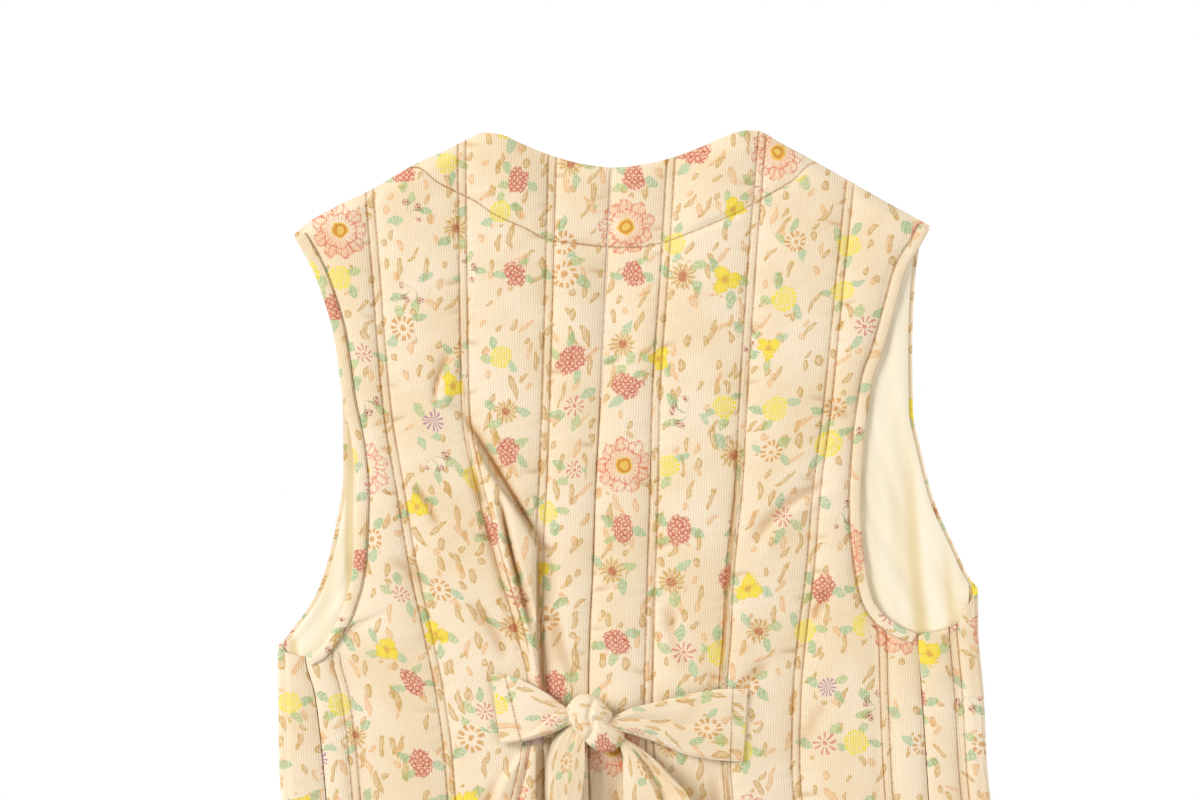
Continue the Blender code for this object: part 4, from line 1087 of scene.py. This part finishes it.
for hand, rows in (("left", STRAP_LEFT), ("right", STRAP_RIGHT)):
    place, top, bottom = np.array(rows, float).T
    steps = np.linspace(0, len(place) - 1, 60)
    share = np.linspace(0, 1, 24)
    x = np.interp(steps, range(len(place)), place)[:, None] + 0 * share
    level = (1 - share) * np.interp(steps, range(len(place)), top)[:, None]
    level = level + share * np.interp(steps, range(len(place)), bottom)[:, None]
    low = on_back.resting(x, level)
    high = low + TIE_WALL + 0.3 * uneven(share * 60 + 0 * x, 14, 2) * np.sin(math.pi * share)
    cloth_map = np.stack([50 * share + 0 * x + 420, x * 1.0], axis=-1)
    strap = wall("cloth_tie_strap_" + hand, grid(x, level, low), grid(x, level, high), cloth_map, printed)
    abs(place[-1] - place[0]) * MM


def stations(rows, count):
    """The columns of a table, evenly resampled along its rows."""
    table = np.array(rows, float)
    stops = np.arange(len(table), dtype=float)
    steps = np.linspace(0, stops[-1], count)
    return [curve(np.stack([stops, values], axis=-1), steps)[:, None] for values in table.T]


def creased(share, crease, step, swell):
    """Height across a tail: a soft swell on each side of its crease, the lower one a step above the upper."""
    before = np.clip(share / crease, 0, 1)
    after = np.clip((share - crease) / (1 - crease), 0, 1)
    ledge = step * ease(after, 0, 0.15) * (1 - after**3)
    return swell * (np.sin(math.pi * before) + np.sin(math.pi * after)) + ledge


def bridged(heights, reach):
    """Heights smoothed along the rows of a grid, never below what they were."""
    rows = np.arange(len(heights))
    near = [np.clip(rows + step, 0, len(heights) - 1) for step in range(-reach, reach + 1)]
    high = np.max([heights[i] for i in near], axis=0)
    return np.mean([high[i] for i in near], axis=0)


on_strap = Ground(back_halves + [bpy.data.objects["cloth_tie_strap_" + hand] for hand in ("left", "right")])
# Name, table, length in metres and start on the printed cloth of each tail.
TAILS = (("left", TAIL_LEFT, 0.060, 440, 440), ("right", TAIL_RIGHT, 0.100, 106, -302))
for hand, rows, tail_length, start_u, start_v in TAILS:
    x_top, top, x_bottom, bottom, height, crease, step, swell = stations(rows, 110)
    out = np.linspace(0, 1, 110)[:, None]
    before = np.linspace(0, 1, 40)[:-1]
    after = np.concatenate([np.linspace(0, 0.15, 10)[:-1], np.linspace(0.15, 1, 30)])
    share = np.concatenate([crease * before, crease + (1 - crease) * after], axis=1)
    x = x_top + share * (x_bottom - x_top)
    level = top + share * (bottom - top)
    pulled = np.exp(-out * 3.2) * uneven(share * 50 + out * 14, 9.0, 3) * 0.45
    rolled = 0.5 * np.exp(-(((share - 0.07) / 0.05) ** 2)) + 0.5 * np.exp(-(((share - 0.94) / 0.04) ** 2))
    rumpled = 0.25 * uneven(x * 0.7 + level * 0.4, 19, 6)
    low = height + creased(share, crease, step, swell) + pulled + rolled + rumpled
    low = np.maximum(low, on_strap.resting(x, level))
    rim = 0.3 * (np.exp(-share * 30) + np.exp(-(1 - share) * 30) + np.exp(-(1 - out) * 60))
    cloth_map = np.stack([50 * share + 0 * x + start_u, tail_length / MM * out + 0 * x + start_v], axis=-1)
    hem_row = np.broadcast_to(abs((1 - out) * tail_length / MM - 9.0) + STITCH_OFFSET, x.shape)
    tail = wall(
        "cloth_tie_tail_" + hand, grid(x, level, low), grid(x, level, low + TIE_WALL - rim),
        cloth_map, printed, {"across": hem_row},
    )

for hand, is_left, rows in (("left", True, LOOP_LEFT), ("right", False, LOOP_RIGHT)):
    level, left, right, depth, tilt, hollow = stations(rows, 80)
    out = np.linspace(0, 1, 80)[:, None]
    share = np.linspace(0, 1, 60)[None, :]
    across = left + share * (right - left)
    low = on_strap.resting(across, level)
    low = bridged(np.maximum(low, low.max(axis=1, keepdims=True) - 1.5), 12)
    arch = 1.2 * np.sin(math.pi * share) + tilt * share**1.5
    sunk = hollow * ease(share, HOLLOW_LEFT - 0.03, HOLLOW_LEFT + 0.04)
    sunk = sunk * (1 - ease(share, HOLLOW_RIGHT - 0.06, HOLLOW_RIGHT))
    pleat = 0.8 * uneven(share * 30 + 0 * across, 8, 5) * np.exp(-out * 3.5)
    pleat = pleat + 0.35 * uneven(share * 26 + out * 5, 11, 2)
    rim = 0.3 * hollow * np.exp(-(((share - 0.93) / 0.06) ** 2))
    high = low + np.maximum(depth + arch - 1.2 * sunk + pleat + rim, TIE_WALL + SEAM_GAP)
    middle, radius = (high[-1] + low[-1]) / 2, (high[-1] - low[-1]) / 2
    x, y, z = [across], [level + 0 * across], [high]
    for angle in np.linspace(0, math.pi, TURN_STEPS + 1)[1:-1]:
        x.append(across[-1:])
        y.append(level[-1] + 1.2 * radius[None, :] * math.sin(angle))
        z.append((middle + radius * math.cos(angle))[None, :])
    x, y, z = (np.concatenate(stack) for stack in (x + [across[::-1]], y + [y[0][::-1]], z + [low[::-1]]))
    step_y, step_z = np.gradient(y, axis=0), np.gradient(z, axis=0)
    size = np.hypot(step_y, step_z)
    offset_y, offset_z = TIE_WALL / 2 * step_z / size, -TIE_WALL / 2 * step_y / size
    z = z + TIE_WALL / 2
    run = np.concatenate([[0], np.cumsum(np.hypot(np.diff(y[:, 0]), np.diff(z[:, 0])))])
    cloth_map = np.stack([50 * share + 0 * x + 560, -(run[:, None] + 0 * x)], axis=-1)
    loop = wall(
        "cloth_tie_loop_" + hand, grid(x, y + offset_y, z + offset_z), grid(x, y - offset_y, z - offset_z),
        cloth_map, printed,
    )


def from_path(x, y, path):
    """Distance of a point from a line drawn through a few places."""
    nearest = math.inf
    for (x1, y1), (x2, y2) in zip(path, path[1:]):
        dx, dy = x2 - x1, y2 - y1
        share = min(max(((x - x1) * dx + (y - y1) * dy) / (dx * dx + dy * dy), 0), 1)
        nearest = min(nearest, math.hypot(x - x1 - share * dx, y - y1 - share * dy))
    return nearest


def knot_point(x, y, z):
    """Place on the knot, from its centre, of a point of a ball: a band that falls to the lower right."""
    turn = math.atan2(y, x)
    corners = abs(math.cos(turn)) ** KNOT_CORNERS + abs(math.sin(turn)) ** KNOT_CORNERS
    corners = corners ** (-1 / KNOT_CORNERS)
    notch = 1 - 0.5 * math.exp(-(((math.degrees(turn) - KNOT_NOTCH) / KNOT_NOTCH_WIDTH) ** 2))
    along, over = KNOT_HALF[0] * x * corners * notch, KNOT_HALF[1] * y * corners * notch
    right, up = (along + over) * math.sqrt(0.5), (over - along) * math.sqrt(0.5)
    near = min(from_path(right, up, path) for path in KNOT_CREASES)
    sunk = math.exp(-((near / KNOT_CREASE_HALF) ** 2))
    pull = 0.2 * math.sin(1.5 * over + 1.2 * math.sin(0.22 * along))
    pull = pull + 0.12 * math.sin(2.7 * over - 0.3 * along)
    height = KNOT_HALF[2] * z + (pull - KNOT_CREASE_DEPTH * sunk) * max(z, 0) ** 0.5
    return right, up, max(height, 1.2 - KNOT_HALF[2])


knot_shape = bmesh.new()
bmesh.ops.create_uvsphere(knot_shape, u_segments=160, v_segments=110, radius=1.0)
knot_map = []
for vertex in knot_shape.verts:
    right, up, height = knot_point(*vertex.co)
    knot_map.append(((right + up) * 0.9 + 480, (right - up) * 0.9 + height))
    x, level, z = KNOT_CENTRE[0] + right, KNOT_CENTRE[1] - up, KNOT_CENTRE[2] + height
    vertex.co = (x * MM, (MIDDLE_LEVEL - level) * MM, z * MM)
knot = dressed("cloth_tie_knot", knot_shape, np.array(knot_map), {}, printed)
